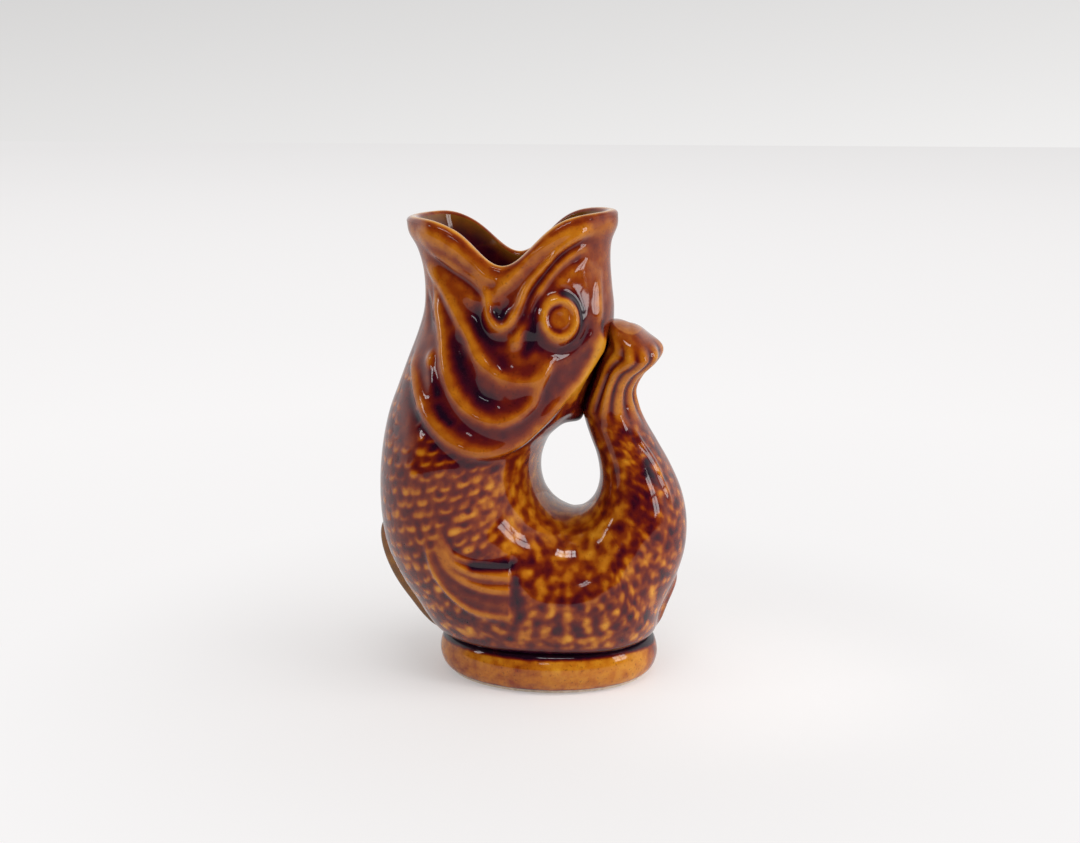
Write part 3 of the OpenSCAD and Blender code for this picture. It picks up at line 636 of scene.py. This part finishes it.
# the crack: how it is pushed in and filled, and where it is painted dark, as painted shade in the crack and
# pooled glaze at its foot
crackLook = {"push": 0.28, "pushSide": (140, 160), "fill": 2.6, "fillAt": 8.45, "fillSpan": 0.42,
             "fillSide": (156, 178), "fillDark": 1.5, "headSide": (170, 178), "flukeAt": (29, 34),
             "flukeSide": (136, 156), "flukeOver": 18,
             "stretches": [(4.6, 5.2, 8.0, 8.4), (28.6, 29.0, 34.4, 34.9)]}
# How thin and light the glaze lies, or below nought how dark, for each part of the form; the crack's dark is
# painted shade
toneLook = {"blurs": (2, 4, 10), "keels": 0.9, "edges": 1.3, "swells": 1.1, "rays": 0.9, "fluke": 0.6,
            "flukeRays": 1.0, "finEdge": 0.9, "finEdgeAt": (0.02, 0.035), "finBehindEdge": -0.6,
            "behindEdgeAt": (0.06, 0.14), "finRays": 1.1, "finRaysAt": (0.38, 0.6), "jaw": -0.22,
            "jawFrom": (60, 66), "crown": 0.5, "crownFrom": (96, 110), "holeSide": 0.4,
            "holeSideAt": (95, 120), "holeFrom": (9.5, 11), "holeTo": 21.5, "softening": 0.5, "crack": -2.5,
            "blotch": 0.2, "scaleBlotch": 0.35, "looseBlotch": 0.55, "looseFrom": (12.5, 16),
            "looseSide": (90, 125)}
spareRows = 24   # past both ends of each grid, cut off again once it is smoothed


def finField(base):
    # how far across the side fin each point lies, from its leading edge, and how much of a fin it is
    share = np.linspace(0, 1, 500)

    def edge(points):
        line = onSkin(points)
        return np.stack([np.interp(share, np.linspace(0, 1, len(line)), line[:, k]) for k in (0, 2)], 1)

    lower, upper = edge(finLook["lower"]), edge(finLook["upper"])
    flat = base.reshape(-1, 3)
    low, high = finLook["heights"]
    beside = (np.abs(flat[:, 1]) > finLook["clearOfKeel"]) & (flat[:, 0] < 0)
    pick = np.flatnonzero(beside & (flat[:, 2] > low) & (flat[:, 2] < high))
    x, z = flat[pick, 0], flat[pick, 2]
    best, across, along = np.full(x.shape, 1e9), np.zeros(x.shape), np.zeros(x.shape)
    for low, span, at in zip(lower, upper - lower, share):
        t = ((x - low[0]) * span[0] + (z - low[1]) * span[1]) / (span @ span)
        clipped = np.clip(t, -0.6, 1.6)
        gap = (x - low[0] - clipped * span[0]) ** 2 + (z - low[1] - clipped * span[1]) ** 2
        closer = gap < best
        best, across = np.where(closer, gap, best), np.where(closer, t, across)
        along = np.where(closer, at, along)
    fin = band(across, *finLook["spread"]) * (best < finLook["reach"])
    fin *= smoothStep(*finLook["begins"], along) * (1 - smoothStep(*finLook["ends"], x))
    field = np.zeros((2, len(flat)))
    field[:, pick] = across, fin
    return field.reshape(2, *base.shape[:2])


def scaleMasks(s, around, base, fin):
    # where the scales colour the glaze, and where they also stand out
    x, y, z = np.moveaxis(base, -1, 0)
    mask = (1 - fin) * (1 - smoothStep(*scaleLook["end"], s))
    mask *= 1 - scaleLook["innerLoss"] * smoothStep(*scaleLook["innerSide"], around)
    mask *= 1 - scaleLook["keelLoss"] * hump(y, scaleLook["keelGap"]) * (around < keelSide)
    drop = onSkin(relief["gillDrop"]["run"])[::3]
    near = np.stack([np.hypot(x - p[0], z - p[2]) for p in drop]).min(0)
    mask *= 1 - (1 - smoothStep(*scaleLook["dropGap"], near)) * (s < station["throat"])
    edge = onSkin(relief["gillEdge"]["run"])
    head = np.interp(x, edge[:, 0], edge[:, 2], left=95, right=140)
    # no scales on the head: they begin behind the gill's edge
    head = np.where(np.abs(y) < scaleLook["throatHalf"], scaleLook["throatTop"], head)
    mask *= np.where(s < station["underHole"] + 1, 1 - smoothStep(*scaleLook["gillGap"], z - head), 1)
    mask *= smoothStep(*scaleLook["bottom"], z)
    front = band(around, *scaleLook["raisedFront"]) * (1 - smoothStep(*scaleLook["spanFront"], s))
    behind = band(around, *scaleLook["raisedBehind"]) * band(s, *scaleLook["spanBehind"])
    return mask, mask * np.maximum(front, scaleLook["riseBehind"] * behind)


def skinField(first, last, rings, columns, seated=False):
    # a grid over a stretch of the skin, with spare rows past its ends, and all that raises or colours it
    step = (last - first) / (rings - 1)
    line = np.clip(first + step * np.arange(-spareRows, rings + spareRows), -0.2, station["tip"])
    s, angle = np.meshgrid(line, 2 * math.pi * np.arange(columns) / columns, indexing="ij")
    base = skinPoint(s, angle, seated=seated)
    around = np.degrees(np.minimum(angle, 2 * math.pi - angle))
    raised = reliefHeight(base.reshape(-1, 3)).reshape(s.shape)
    below = np.linalg.norm(base - skinPoint(np.zeros(1), angle[0])[None], axis=-1)
    raised += (s < lipBead["last"]) * lipBead["height"] * hump(below - lipBead["below"], lipBead["spread"])
    keels = np.zeros(s.shape)
    for keel in keelLook.values():
        t = (s - keel["span"][0]) / (keel["span"][1] - keel["span"][0])
        along = np.sqrt(np.clip(1 - (2 * t - 1) ** 2, 0, 1))
        side = np.where(around < keelSide, base[..., 1], 99)
        keels += keel["rise"] * along * np.exp(-np.abs(side / keel["width"]) ** keelSharpness)
    raised = blurred(raised + keels, 2, 1)
    # the crack between fluke and head, filled with glaze at its foot; the dark along it is painted shade,
    # with the glaze pooled dark at its foot
    look = crackLook
    stretch = sum(band(s, *ends) for ends in look["stretches"])
    fill = smoothStep(*look["fillSide"], around) * hump(s - look["fillAt"], look["fillSpan"])
    raised += look["push"] * smoothStep(*look["pushSide"], around) * stretch + look["fill"] * fill
    begins = np.interp(s, look["flukeAt"], look["flukeSide"])
    onFluke = smoothStep(begins, begins + look["flukeOver"], around)
    onHead = smoothStep(*look["headSide"], around)
    crack = np.where(s < station["underHole"], onHead, onFluke) * stretch
    crack = np.maximum(crack, look["fillDark"] * fill)
    across, fin = finField(base)
    raised += finLook["rise"] * fin
    # the scales are counted out from the belly's side, both ways round
    width = np.linalg.norm(np.roll(base, -1, axis=1) - base, axis=-1)
    reach = np.cumsum(width, axis=1) - width
    reach = np.where(angle > math.pi, reach - width.sum(1)[:, None], reach)
    sizes = np.interp(s, scaleLook["behindFrom"], [scaleLook["across"], scaleLook["acrossBehind"]])
    mask, rise = scaleMasks(s, around, base, fin)
    return {"s": s, "angle": angle, "around": around, "base": base, "normals": gridNormals(base),
            "raised": raised, "crack": crack, "keels": keels,
            "fields": {"scaleAlong": s * scaleLook["rowsPerStation"], "scaleAcross": reach / sizes,
                       "scaleMask": mask, "scaleRise": rise, "rayAcross": across, "rayMask": fin}}


def sculpt(field, fluke=False):
    # lifts the relief, lays the scales and rays with the trees, and works out how thin the glaze lies
    base, normals, fields, s, around = (field[key] for key in ("base", "normals", "fields", "s", "around"))
    z, scales, tone = base[..., 2], fields["scaleMask"], toneLook
    points = base + normals * field["raised"][..., None]
    points, crescent = throughTree(points, normals, fields, trees["scales"], {
        "Scale height": scaleLook["height"] * millimetre, "Unevenness": scaleLook["unevenness"],
        "Roundness": scaleLook["roundness"], "Hollow width": scaleLook["hollow"][0],
        "Hollow height": scaleLook["hollow"][1], "Warp": scaleLook["warp"],
        "Seed": scaleLook["seed"]}, "crescent")
    across, fin = fields["rayAcross"], fields["rayMask"]
    if fluke:
        fields["rayAcross"] = field["angle"] / (2 * math.pi)
        fields["rayMask"] = band(s, *flukeLook["rayEnds"]) * (1 - smoothStep(*flukeLook["rayBack"], around))
    else:
        least = finLook["rayLeast"]
        deep = fin * (least + (1 - least) * smoothStep(*finLook["raysFrom"], across))
        fields["rayMask"] = deep * smoothStep(*finLook["raysLeft"], base[..., 0])
    look = flukeLook if fluke else finLook
    points, rays = throughTree(points, normals, fields, trees["rays"], {
        "Ray height": look["height"] * millimetre, "Rays": float(look["rays"]),
        "Sharpness": look["sharpness"], "Unevenness": look["unevenness"]}, "rayLift")
    # where the relief stands out the glaze runs thin and light, and in the hollows it pools dark
    lifted = field["raised"] - tone["keels"] * field["keels"] + rays / millimetre
    near, middle, wide = (blurred(lifted, k, k) for k in tone["blurs"])
    rays = rays / (look["height"] * millimetre)
    thin = tone["edges"] * (lifted - middle) + tone["swells"] * (near - wide) + tone["rays"] * rays
    if fluke:
        thin += (tone["fluke"] + tone["flukeRays"] * rays) * fields["rayMask"]
    else:   # the fin: light along its edge, dark behind it, light again where the rays rise
        edge, spread = tone["finEdgeAt"]
        thin += fin * (tone["finEdge"] * hump(across - edge, spread)
                       + tone["finBehindEdge"] * smoothStep(*tone["behindEdgeAt"], across)
                       + tone["finRays"] * smoothStep(*tone["finRaysAt"], across))
    ends = np.interp(s, scaleLook["fadeAt"], scaleLook["fadeFrom"])
    fade = scales * (1 - smoothStep(ends, ends + scaleLook["fadeOver"], around))
    fade = fade * (1 - scaleLook["tailLoss"] * smoothStep(*scaleLook["tailFade"], s))
    pattern = blurred(crescent, 1, 1) / np.maximum(scales, 0.05) - scaleLook["shade"]
    thin += scaleLook["contrast"] * pattern * fade
    head = (1 - scales) * smoothStep(*tone["jawFrom"], z) * (s < station["throat"])
    thin += head * (tone["crown"] * smoothStep(*tone["crownFrom"], z) + tone["jaw"])
    hole = smoothStep(*tone["holeSideAt"], around) * smoothStep(*tone["holeFrom"], s)
    thin += tone["holeSide"] * hole * (s < tone["holeTo"])
    thin = thin / (1 + tone["softening"] * np.maximum(thin, 0))
    # painted shade in the crack between fluke and head, and the pooled places, a few of them painted shade
    thin += tone["crack"] * field["crack"] - pooled(base)
    loose = np.maximum(smoothStep(*tone["looseFrom"], s), smoothStep(*tone["looseSide"], around))
    loose = tone["scaleBlotch"] + tone["looseBlotch"] * loose
    field["points"], field["thin"] = points, thin
    field["blotch"] = tone["blotch"] + (loose - tone["blotch"]) * scales
    return field


# Shader node groups and materials
def glazeGroup():
    # brown glaze: thin and light where the relief stands out, pooled and dark in the hollows
    gives = {"Color": "Color", "Roughness": "Float", "Height": "Float"}
    t, start = newGroup("glazeTone", "ShaderNodeTree", gives, {
        "Coordinates": "Vector", "Thinness": 0.0, "Level": 0.5, "Blotch": 0.0, "Mottle": 0.12, "Specks": 0.3})
    plus, minus, times, place = t.plus, t.minus, t.times, start["Coordinates"]
    broad, fine, spots, dots = (t.noise(place, *noise)[0] for noise in (
        (60.0, 2.0), (420.0, 3.0, 0.55), (360.0, 0.6), (1500.0, 1.0)))
    cloud = plus(minus(broad, 0.5), times(minus(fine, 0.5), 0.8))
    spots = times(minus(spots, 0.5), start["Blotch"])
    level = plus(start["Level"], times(start["Thinness"], 0.30))
    level = plus(plus(level, times(cloud, start["Mottle"])), times(spots, 1.2))
    colour = t.tones(level, [
        (0.0, (0.014, 0.003, 0.010)), (0.20, (0.055, 0.003, 0.009)), (0.38, (0.125, 0.010, 0.005)),
        (0.55, (0.25, 0.040, 0.003)), (0.75, (0.47, 0.145, 0.007)), (1.0, (0.66, 0.29, 0.02))])
    specks = times(t.range(dots, 0.62, 0.72, kind="LINEAR"), start["Specks"])
    colour = t.mix(specks, colour, (0.25, 0.16, 0.14), "MULTIPLY")
    roughness = t.range(fine, 0.3, 0.7, 0.035, 0.075, "LINEAR")
    t.add("NodeGroupOutput", colour, roughness, plus(times(broad, 0.7), times(fine, 0.12)))
    return t.tree


glazeTone = glazeGroup()


def newMaterial(name):
    material = bpy.data.materials.new(name)
    material.use_nodes = True
    t = Tree(material.node_tree)
    return material, t, t.add("ShaderNodeTexCoord").outputs["Object"]


def finish(t, colour, roughness, height, ripple):
    # joins the looks to the material's own shader, with a fine ripple that many millimetres high
    shader = t.tree.nodes["Principled BSDF"]
    bump = t.add("ShaderNodeBump")
    for value, socket in ((colour, shader.inputs["Base Color"]), (roughness, shader.inputs["Roughness"]),
                          (height, bump.inputs["Height"]), (ripple * millimetre, bump.inputs["Distance"]),
                          (1.0, bump.inputs["Strength"]), (bump.outputs[0], shader.inputs["Normal"])):
        t.put(value, socket)


def glazeMaterial(name, look):
    material, t, where = newMaterial(name)
    t.put(1.5, t.tree.nodes["Principled BSDF"].inputs["IOR"])
    tone = t.add("ShaderNodeGroup", where, t.attribute("thin"), look["level"], t.attribute("blotch"),
                 look["mottle"], look["specks"], node_tree=glazeTone)
    colour = tone.outputs["Color"]
    if "inside" in look:
        colour = t.mix(t.attribute("inside"), colour, look["inside"])
    finish(t, colour, tone.outputs["Roughness"], tone.outputs["Height"], look["ripple"])
    return material


def clayMaterial(name, look):
    material, t, where = newMaterial(name)
    grain = t.noise(where, look["grain"], 6.0)[0]
    colour = t.tones(grain, [(0.35, look["dark"]), (0.65, look["light"])])
    finish(t, colour, look["roughness"], grain, look["ripple"])
    return material


glazes = {
    "bodyGlaze": {"level": 0.51, "mottle": 0.22, "specks": 0.35, "ripple": 0.10,
                  "inside": (0.17, 0.085, 0.012)},
    "reliefGlaze": {"level": 0.49, "mottle": 0.35, "specks": 0.35, "ripple": 0.10},
    "footGlaze": {"level": 0.62, "mottle": 0.60, "specks": 0.5, "ripple": 0.10}}
bareClay = {"grain": 900, "dark": (0.66, 0.56, 0.43), "light": (0.85, 0.76, 0.64),
            "roughness": 0.85, "ripple": 0.15}
materials = {name: glazeMaterial(name, look) for name, look in glazes.items()}
materials["bareClay"] = clayMaterial("bareClay", bareClay)
print("materials ready")


# The pieces, each a closed mesh built up from grids
class Shell:
    # keeps each point with its normal and looks: how thin the glaze is, how far inside it lies, how blotched
    def __init__(self):
        self.parts, self.faces, self.count = [], [], 0

    def grid(self, points, normals, thin=0, inside=0, blotch=0.2):
        n, m = points.shape[:2]
        self.faces += quads(n, m, self.count)
        looks = [np.broadcast_to(look, (n, m)).ravel() for look in (thin, inside, blotch)]
        self.parts.append(np.column_stack([points.reshape(-1, 3), normals.reshape(-1, 3), *looks]))
        corners = np.arange(n * m).reshape(n, m) + self.count
        self.count += n * m
        return corners.tolist()

    def make(self, name, glaze, nodes):
        rows = np.concatenate(self.parts)
        piece = makeMesh(name, rows[:, :3], self.faces, rows[:, 3:6],
                         {"thin": rows[:, 6], "inside": rows[:, 7], "blotch": rows[:, 8]})
        piece.data.materials.append(glaze)
        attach(piece, "root")
        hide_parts(*nodes)
        print(name, "made:", len(self.faces), "faces")


def innerGrid(first, last, rings, columns, seated=False):
    turn = 2 * math.pi * np.arange(columns) / columns
    s, angle = np.meshgrid(np.linspace(last, first, rings), turn, indexing="ij")
    points = skinPoint(s, angle, off=-jug["wall"], seated=seated)
    return points, gridNormals(points)


def outerSkin(look, first, last, seated=False, fluke=False):
    field = skinField(station[first], station[last], look["rings"], look["columns"], seated)
    return look, sculpt(field, fluke), look["columns"]


bellyLook = {"rings": 250, "columns": 320, "innerRings": 53, "innerShade": -1.2, "crease": (11.4, 14.0),
             "creaseShade": 1.9, "fold": (16.6, 1.0), "foldLight": 0.4, "keelOlive": 0.7}


def makeBelly():
    look, field, columns = outerSkin(bellyLook, "neck", "tail", seated=True)
    points, z = field["points"], field["base"][..., 2]
    # painted shade in the crease between the belly and the foot: darker below the crease's top
    thin = field["thin"] - look["creaseShade"] * (1 - smoothStep(*look["crease"], z))
    thin += look["foldLight"] * hump(z - look["fold"][0], look["fold"][1])
    olive = look["keelOlive"] * smoothStep(0.4, 1.6, field["keels"])
    shell = Shell()
    outer = shell.grid(*(grid[spareRows:-spareRows] for grid in (
        points, gridNormals(points), thin, olive, field["blotch"])))
    inner = innerGrid(station["neck"], station["tail"], look["innerRings"], columns // 4, seated=True)
    # the inside of the body, painted dark as shade
    inner = shell.grid(*inner, look["innerShade"])
    shell.faces += bridge(outer[-1], inner[0]) + bridge(outer[0], inner[-1], flip=True)
    shell.make("bellySkin", materials["bodyGlaze"],
               ["belly_shell", "belly_fin", "tail_fin", "left_side_fin", "right_side_fin"])


headLook = {"rings": 170, "columns": 360, "cavityRings": 60, "rollRings": 12, "bluntAt": -29, "bluntSpan": 6,
            "bluntHalf": 6, "blunt": 2.2, "mouthFrom": (106, 124), "frontLift": 0.6, "liftFrom": (-23, -31),
            "cavityTone": 0.5, "throatShade": 1.7, "throatRings": (-2, 7), "crestLight": 1.8,
            "crestSharpness": 6, "cavityOlive": 0.75, "blotch": 0.25}


def spreadMouth(points, look):
    # the front of the mouth is blunter and stands a little higher than the plain skin
    x, y, z = np.moveaxis(points, -1, 0)
    high = smoothStep(*look["mouthFrom"], z)
    wider = look["blunt"] * hump(x - look["bluntAt"], look["bluntSpan"]) * high
    wider = wider * np.clip(y / look["bluntHalf"], -1, 1)
    return np.stack([x, y + wider, z + look["frontLift"] * smoothStep(*look["liftFrom"], x) * high], axis=-1)


def makeHead():
    look, field, columns = outerSkin(headLook, "rim", "neck")
    cavityRings, rollRings = look["cavityRings"], look["rollRings"]
    raised = (field["points"] - field["base"])[spareRows:]
    share = np.linspace(0, 1, rollRings + 2)[1:-1, None]
    over, inward = np.sin(math.pi * share), (1 - np.cos(math.pi * share)) / 2
    roll = skinPoint(np.zeros((1, columns)), field["angle"][:1], off=-jug["wall"] * inward,
                     lift=jug["rimRound"] * over)
    roll = roll + raised[0][None] * (1 - share[..., None])
    cavity, _ = innerGrid(station["rim"], station["neck"], cavityRings, columns)
    every = spreadMouth(np.concatenate([cavity, roll[::-1], field["points"][spareRows:]]), look)
    depth = np.arange(cavityRings)[::-1, None] * np.ones(columns)   # in rings below the rim
    deep = smoothStep(*look["throatRings"], depth)
    # the glaze runs off the top of the rim
    crest = np.sin(math.pi * share[::-1]) ** look["crestSharpness"] * np.ones(columns)
    # inside the mouth the glaze is painted darker the deeper it lies, as painted shade
    throat, outside = look["cavityTone"] - look["throatShade"] * deep, field["thin"][spareRows:]
    thin = np.concatenate([throat, look["crestLight"] * crest, outside])
    inside = np.concatenate([look["cavityOlive"] * (1 - deep), 0 * crest, 0 * outside])
    blotch = np.full((cavityRings + rollRings, columns), look["blotch"])
    blotch = np.concatenate([blotch, field["blotch"][spareRows:]])
    shell = Shell()
    corners = shell.grid(*(grid[:-spareRows] for grid in (every, gridNormals(every), thin, inside, blotch)))
    shell.faces += bridge(corners[-1], corners[0])
    parts = ("eye", "nostril", "lip", "brow", "cheek", "gill_ridge", "gill_cover", "throat_rays")
    shell.make("headSkin", materials["bodyGlaze"],
               ["head_shell"] + [f"{side}_{part}" for side in ("left", "right") for part in parts])


tailLook = {"rings": 170, "columns": 240, "innerRings": 29, "innerShade": -1.2}


def makeTail():
    look, field, columns = outerSkin(tailLook, "tail", "fluke", fluke=True)
    points, thin = field["points"], field["thin"]
    shell = Shell()
    outer = shell.grid(*(grid[spareRows:-spareRows] for grid in (
        points, gridNormals(points), thin, 0 * thin, field["blotch"])))
    inner = innerGrid(station["tail"], station["cavityEnd"], look["innerRings"], columns // 4)
    # the inside of the tail, painted dark as shade
    inner = shell.grid(*inner, look["innerShade"])
    shell.faces += fan(outer[-1]) + fan(inner[0], flip=True) + bridge(outer[0], inner[-1], flip=True)
    shell.make("tailSkin", materials["bodyGlaze"], ["tail_handle"])


def makeFluke():
    look, field, columns = outerSkin(flukeLook, "fluke", "tip", fluke=True)
    points, s, around, thin = (field[key][:-spareRows] for key in ("points", "s", "around", "thin"))
    top, narrow = smoothStep(*look["top"], s), smoothStep(*look["narrowAt"], s)
    points = points * np.stack([np.ones(s.shape), 1 - look["narrow"] * narrow, np.ones(s.shape)], axis=-1)
    lift = look["lift"] * top * (1 - smoothStep(*look["liftEnds"], points[..., 0]))
    lift -= look["sag"] * narrow * points[..., 1] ** 2
    toHead = (top * smoothStep(*look["toHeadSide"], around))[..., None] * look["toHead"]
    points = points + lift[..., None] * [0, 0, 1] + toHead
    edge, centre = points[-1], points[-1].mean(0)
    # the top, from its edge to its middle
    close = np.linspace(0, 0.98, look["capRings"] + 1)[1:, None, None]
    rise = np.array([look["domeLean"], 0, 1]) * look["dome"] * (1 - (1 - close) ** 2)
    cap = centre + (edge - centre) * (1 - close) + rise
    every = np.concatenate([points, cap])
    thin = np.concatenate([thin, np.full((len(cap), columns), look["capTone"])])
    shell = Shell()
    corners = shell.grid(*(grid[spareRows:] for grid in (every, gridNormals(every), thin)))
    shell.faces += fan(corners[-1]) + fan(corners[0], flip=True)
    shell.make("flukeSkin", materials["reliefGlaze"], ["tail_fluke"])


footLook = {"rings": 60, "columns": 288, "recessTurn": [(0.5, 0), (0.2, 0.1), (0, 0.4)], "tone": 0.35,
            "crease": (9.3, 10.6), "creaseEnds": (8.7, 10.2), "creaseShade": 2.6, "endSharpness": 6,
            "foot": (0.6, 2.2), "footDark": 0.5, "backEnd": (0.9, 1.0), "backFrom": (1.5, 4),
            "backReflectionDark": 0.9}


def makeFoot():
    look = footLook
    columns, width, low = look["columns"], jug["rimWidth"], jug["rimHeight"]
    inner, deep = (footShares[0][0] + 1) * width, jug["recessDepth"]
    side = smoothRow(footShares, np.linspace(0, len(footShares) - 1, look["rings"]))
    side = np.column_stack([side[:, 0] * width, low + side[:, 1] * (jug["footHeight"] - low)])
    recess = [(inner + x, deep - z) for x, z in look["recessTurn"]]
    inset, z = np.concatenate([recess, [(inner, low)], side]).T[..., None]
    angle = 2 * math.pi * np.arange(columns) / columns
    points = np.stack([(jug["footLength"] / 2 - inset) * np.cos(angle),
                       (jug["footWidth"] / 2 - inset) * np.sin(angle), z * np.ones(columns)], axis=-1)
    end = np.abs(np.cos(angle)) ** look["endSharpness"]
    crease = (middle + (edge - middle) * end for middle, edge in zip(look["crease"], look["creaseEnds"]))
    # painted shade on the foot's top, in the crease where it meets the belly
    thin = look["tone"] - look["creaseShade"] * smoothStep(*crease, z)
    thin = thin - look["footDark"] * (1 - smoothStep(*look["foot"], z))
    # painted reflection: the foot's back end darker and purple, as it looks in its reflections
    back = smoothStep(*look["backEnd"], np.cos(angle)) * smoothStep(*look["backFrom"], z)
    thin -= look["backReflectionDark"] * back
    shell = Shell()
    corners = shell.grid(points, gridNormals(points), thin)
    shell.faces += fan(corners[-1]) + fan(corners[0], flip=True)
    shell.make("footRing", materials["footGlaze"], ["foot"])


makeBelly()
makeHead()
makeTail()
makeFluke()
makeFoot()
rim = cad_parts["standing_rim"]
rim.data.materials.clear()
rim.data.materials.append(materials["bareClay"])


# Floor, world and lights
studio = {"floorSize": 3.0, "floorTone": (0.93, 0.92, 0.915), "near": -0.05, "far": 0.16,
          "backTone": (0.94, 0.925, 0.925), "mirrored": 0.7,
          # backShades: painted shading of the floor's glow, by distance from the jug
          "backShades": [(0.0, 0.93), (0.03, 0.95), (0.05, 0.985), (0.12, 1.0), (0.20, 0.975), (0.37, 0.945),
                         (0.7, 0.885), (1.0, 0.85)],
          "skyTone": (1, 0.99, 0.985), "skyLevel": 0.79, "skyUp": -1.2, "skyUpTo": 0.2, "skyAcross": 0.14,
          "wallStarts": (-0.35, 0.15), "wallEnds": (0.35, 0.85), "wallTop": 0.15, "wall": 0.85,
          "room": 0.012, "softTone": (1, 0.98, 0.96), "soft": 0.60}


def makeFloor():
    size = studio["floorSize"]
    mesh = bpy.data.meshes.new("floor")
    corners = [(-size, -size, 0), (size, -size, 0), (size, size, 0), (-size, size, 0)]
    mesh.from_pydata(corners, [], [(0, 1, 2, 3)])
    floor = bpy.data.objects.new("floor", mesh)
    bpy.context.scene.collection.objects.link(floor)
    paint, t, where = newMaterial("paperFloor")
    nodes, m = t.tree.nodes, t.math
    nodes.remove(nodes["Principled BSDF"])
    length = t.add("ShaderNodeVectorMath", where, operation="LENGTH").outputs["Value"]
    rays = t.add("ShaderNodeLightPath").outputs
    # the floor's glow, a painted shading: a little darker close to the jug and darker far off
    shades = t.tones(m("DIVIDE", length, size), [
        (at, [shade * part for part in studio["backTone"]]) for at, shade in studio["backShades"]])
    power = t.range(rays["Is Glossy Ray"], 0, 1, 1, studio["mirrored"], "LINEAR")
    glow = t.add("ShaderNodeEmission", shades, power)
    matte = t.add("ShaderNodeBsdfDiffuse", (*studio["floorTone"], 1))
    seen = m("MAXIMUM", rays["Is Camera Ray"], rays["Is Glossy Ray"])
    share = t.times(seen, t.range(length, studio["near"], studio["far"]))
    t.put(t.add("ShaderNodeMixShader", share, matte.outputs[0], glow.outputs[0]).outputs[0],
          nodes["Material Output"].inputs[0])
    mesh.materials.append(paint)


def makeWorld():
    # pale for the camera, painted darker upwards and to the left as shading of the backdrop; a dark room with
    # a pale back wall for reflections, soft for the rest
    world = bpy.data.worlds.new("studio")
    bpy.context.scene.world = world
    world.use_nodes = True
    t = Tree(world.node_tree)
    nodes, m, plus, times = t.tree.nodes, t.math, t.plus, t.times
    way = t.add("ShaderNodeSeparateXYZ", t.add("ShaderNodeTexCoord").outputs["Generated"]).outputs
    up = m("MINIMUM", m("MAXIMUM", way["Z"], -studio["skyUpTo"]), studio["skyUpTo"])
    up = times(up, studio["skyUp"])
    level = plus(plus(up, times(way["X"], studio["skyAcross"])), studio["skyLevel"])
    seen = t.add("ShaderNodeBackground", (*studio["skyTone"], 1), level)
    wall = times(t.range(way["Y"], *studio["wallStarts"]),
             t.range(way["Z"], *studio["wallEnds"], 1, studio["wallTop"]))
    room = t.add("ShaderNodeBackground", t.range(wall, 0, 1, studio["room"], studio["wall"], "LINEAR"))
    soft = nodes["Background"]
    t.put((*studio["softTone"], 1), soft.inputs[0])
    t.put(studio["soft"], soft.inputs[1])
    rays = t.add("ShaderNodeLightPath").outputs
    glossy = t.add("ShaderNodeMixShader", rays["Is Glossy Ray"], soft.outputs[0], room.outputs[0])
    direct = t.add("ShaderNodeMixShader", rays["Is Camera Ray"], glossy.outputs[0], seen.outputs[0])
    t.put(direct.outputs[0], nodes["World Output"].inputs[0])


# Windows of panes with bars between them, each in a direction in degrees from the camera's, round and up
aim = Vector((0, 0, 0.07))
windows = {
    "rightWindow": {"round": 70, "up": 14, "distance": 0.9, "size": (0.26, 0.34), "panes": (2, 2),
                    "bar": 0.02, "power": 1.3, "colour": (1, 0.96, 0.95)},
    "leftWindow": {"round": -68, "up": 26, "distance": 1.0, "size": (0.14, 0.28), "panes": (2, 2),
                   "bar": 0.02, "power": 0.6, "colour": (0.96, 0.98, 1)},
    "topWindow": {"round": 8, "up": 67, "distance": 1.1, "size": (0.46, 0.20), "panes": (4, 2),
                  "bar": 0.015, "power": 2.1, "colour": (1, 0.97, 0.98)},
    "frontWindow": {"round": -3, "up": 20, "distance": 1.2, "size": (0.16, 0.12), "panes": (3, 2),
                    "bar": 0.012, "power": 0.25, "colour": (0.94, 0.97, 1)},
    "sideLamp": {"round": 82, "up": 38, "distance": 1.2, "size": (0.8, 0.8), "panes": (1, 1), "bar": 0,
                 "power": 3.5, "colour": (1, 0.98, 0.97), "mirrored": False}}
# What the bright table gives back to the right of the jug
bounce = {"place": (0.17, -0.03, 0.13), "towards": (0.05, 0.0, 0.0), "cone": 52, "power": 0.32,
          "radius": 0.02, "colour": (1, 0.95, 0.93), "mirrored": False}


def addLamp(name, kind, look, place, facing, share=1):
    light = bpy.data.lights.new(name, kind)
    light.energy, light.color = look["power"] / share, look["colour"]
    lamp = bpy.data.objects.new(name, light)
    lamp.visible_glossy = look.get("mirrored", True)
    bpy.context.scene.collection.objects.link(lamp)
    lamp.location, lamp.rotation_mode, lamp.rotation_quaternion = place, "QUATERNION", facing
    return light


def makeWindow(name, look):
    turn, rise = math.radians(look["round"]), math.radians(look["up"])
    away = Vector((math.sin(turn) * math.cos(rise), -math.cos(turn) * math.cos(rise), math.sin(rise)))
    centre, facing = away * look["distance"] + aim, away.to_track_quat("Z", "Y")
    width, height = look["size"]
    across, down = look["panes"]
    for i in range(across):
        for j in range(down):
            shift = Vector((((i + 0.5) / across - 0.5) * width, ((j + 0.5) / down - 0.5) * height, 0))
            light = addLamp(f"{name}_{i}_{j}", "AREA", look, centre + facing @ shift, facing, across * down)
            light.shape = "RECTANGLE"
            light.size, light.size_y = width / across - look["bar"], height / down - look["bar"]


def makeBounce(look):
    place = Vector(look["place"])
    light = addLamp("bounce", "SPOT", look, place, (place - Vector(look["towards"])).to_track_quat("Z", "Y"))
    light.spot_size, light.spot_blend, light.shadow_soft_size = math.radians(look["cone"]), 1, look["radius"]


makeFloor()
makeWorld()
for name, look in windows.items():
    makeWindow(name, look)
makeBounce(bounce)
print("studio ready")
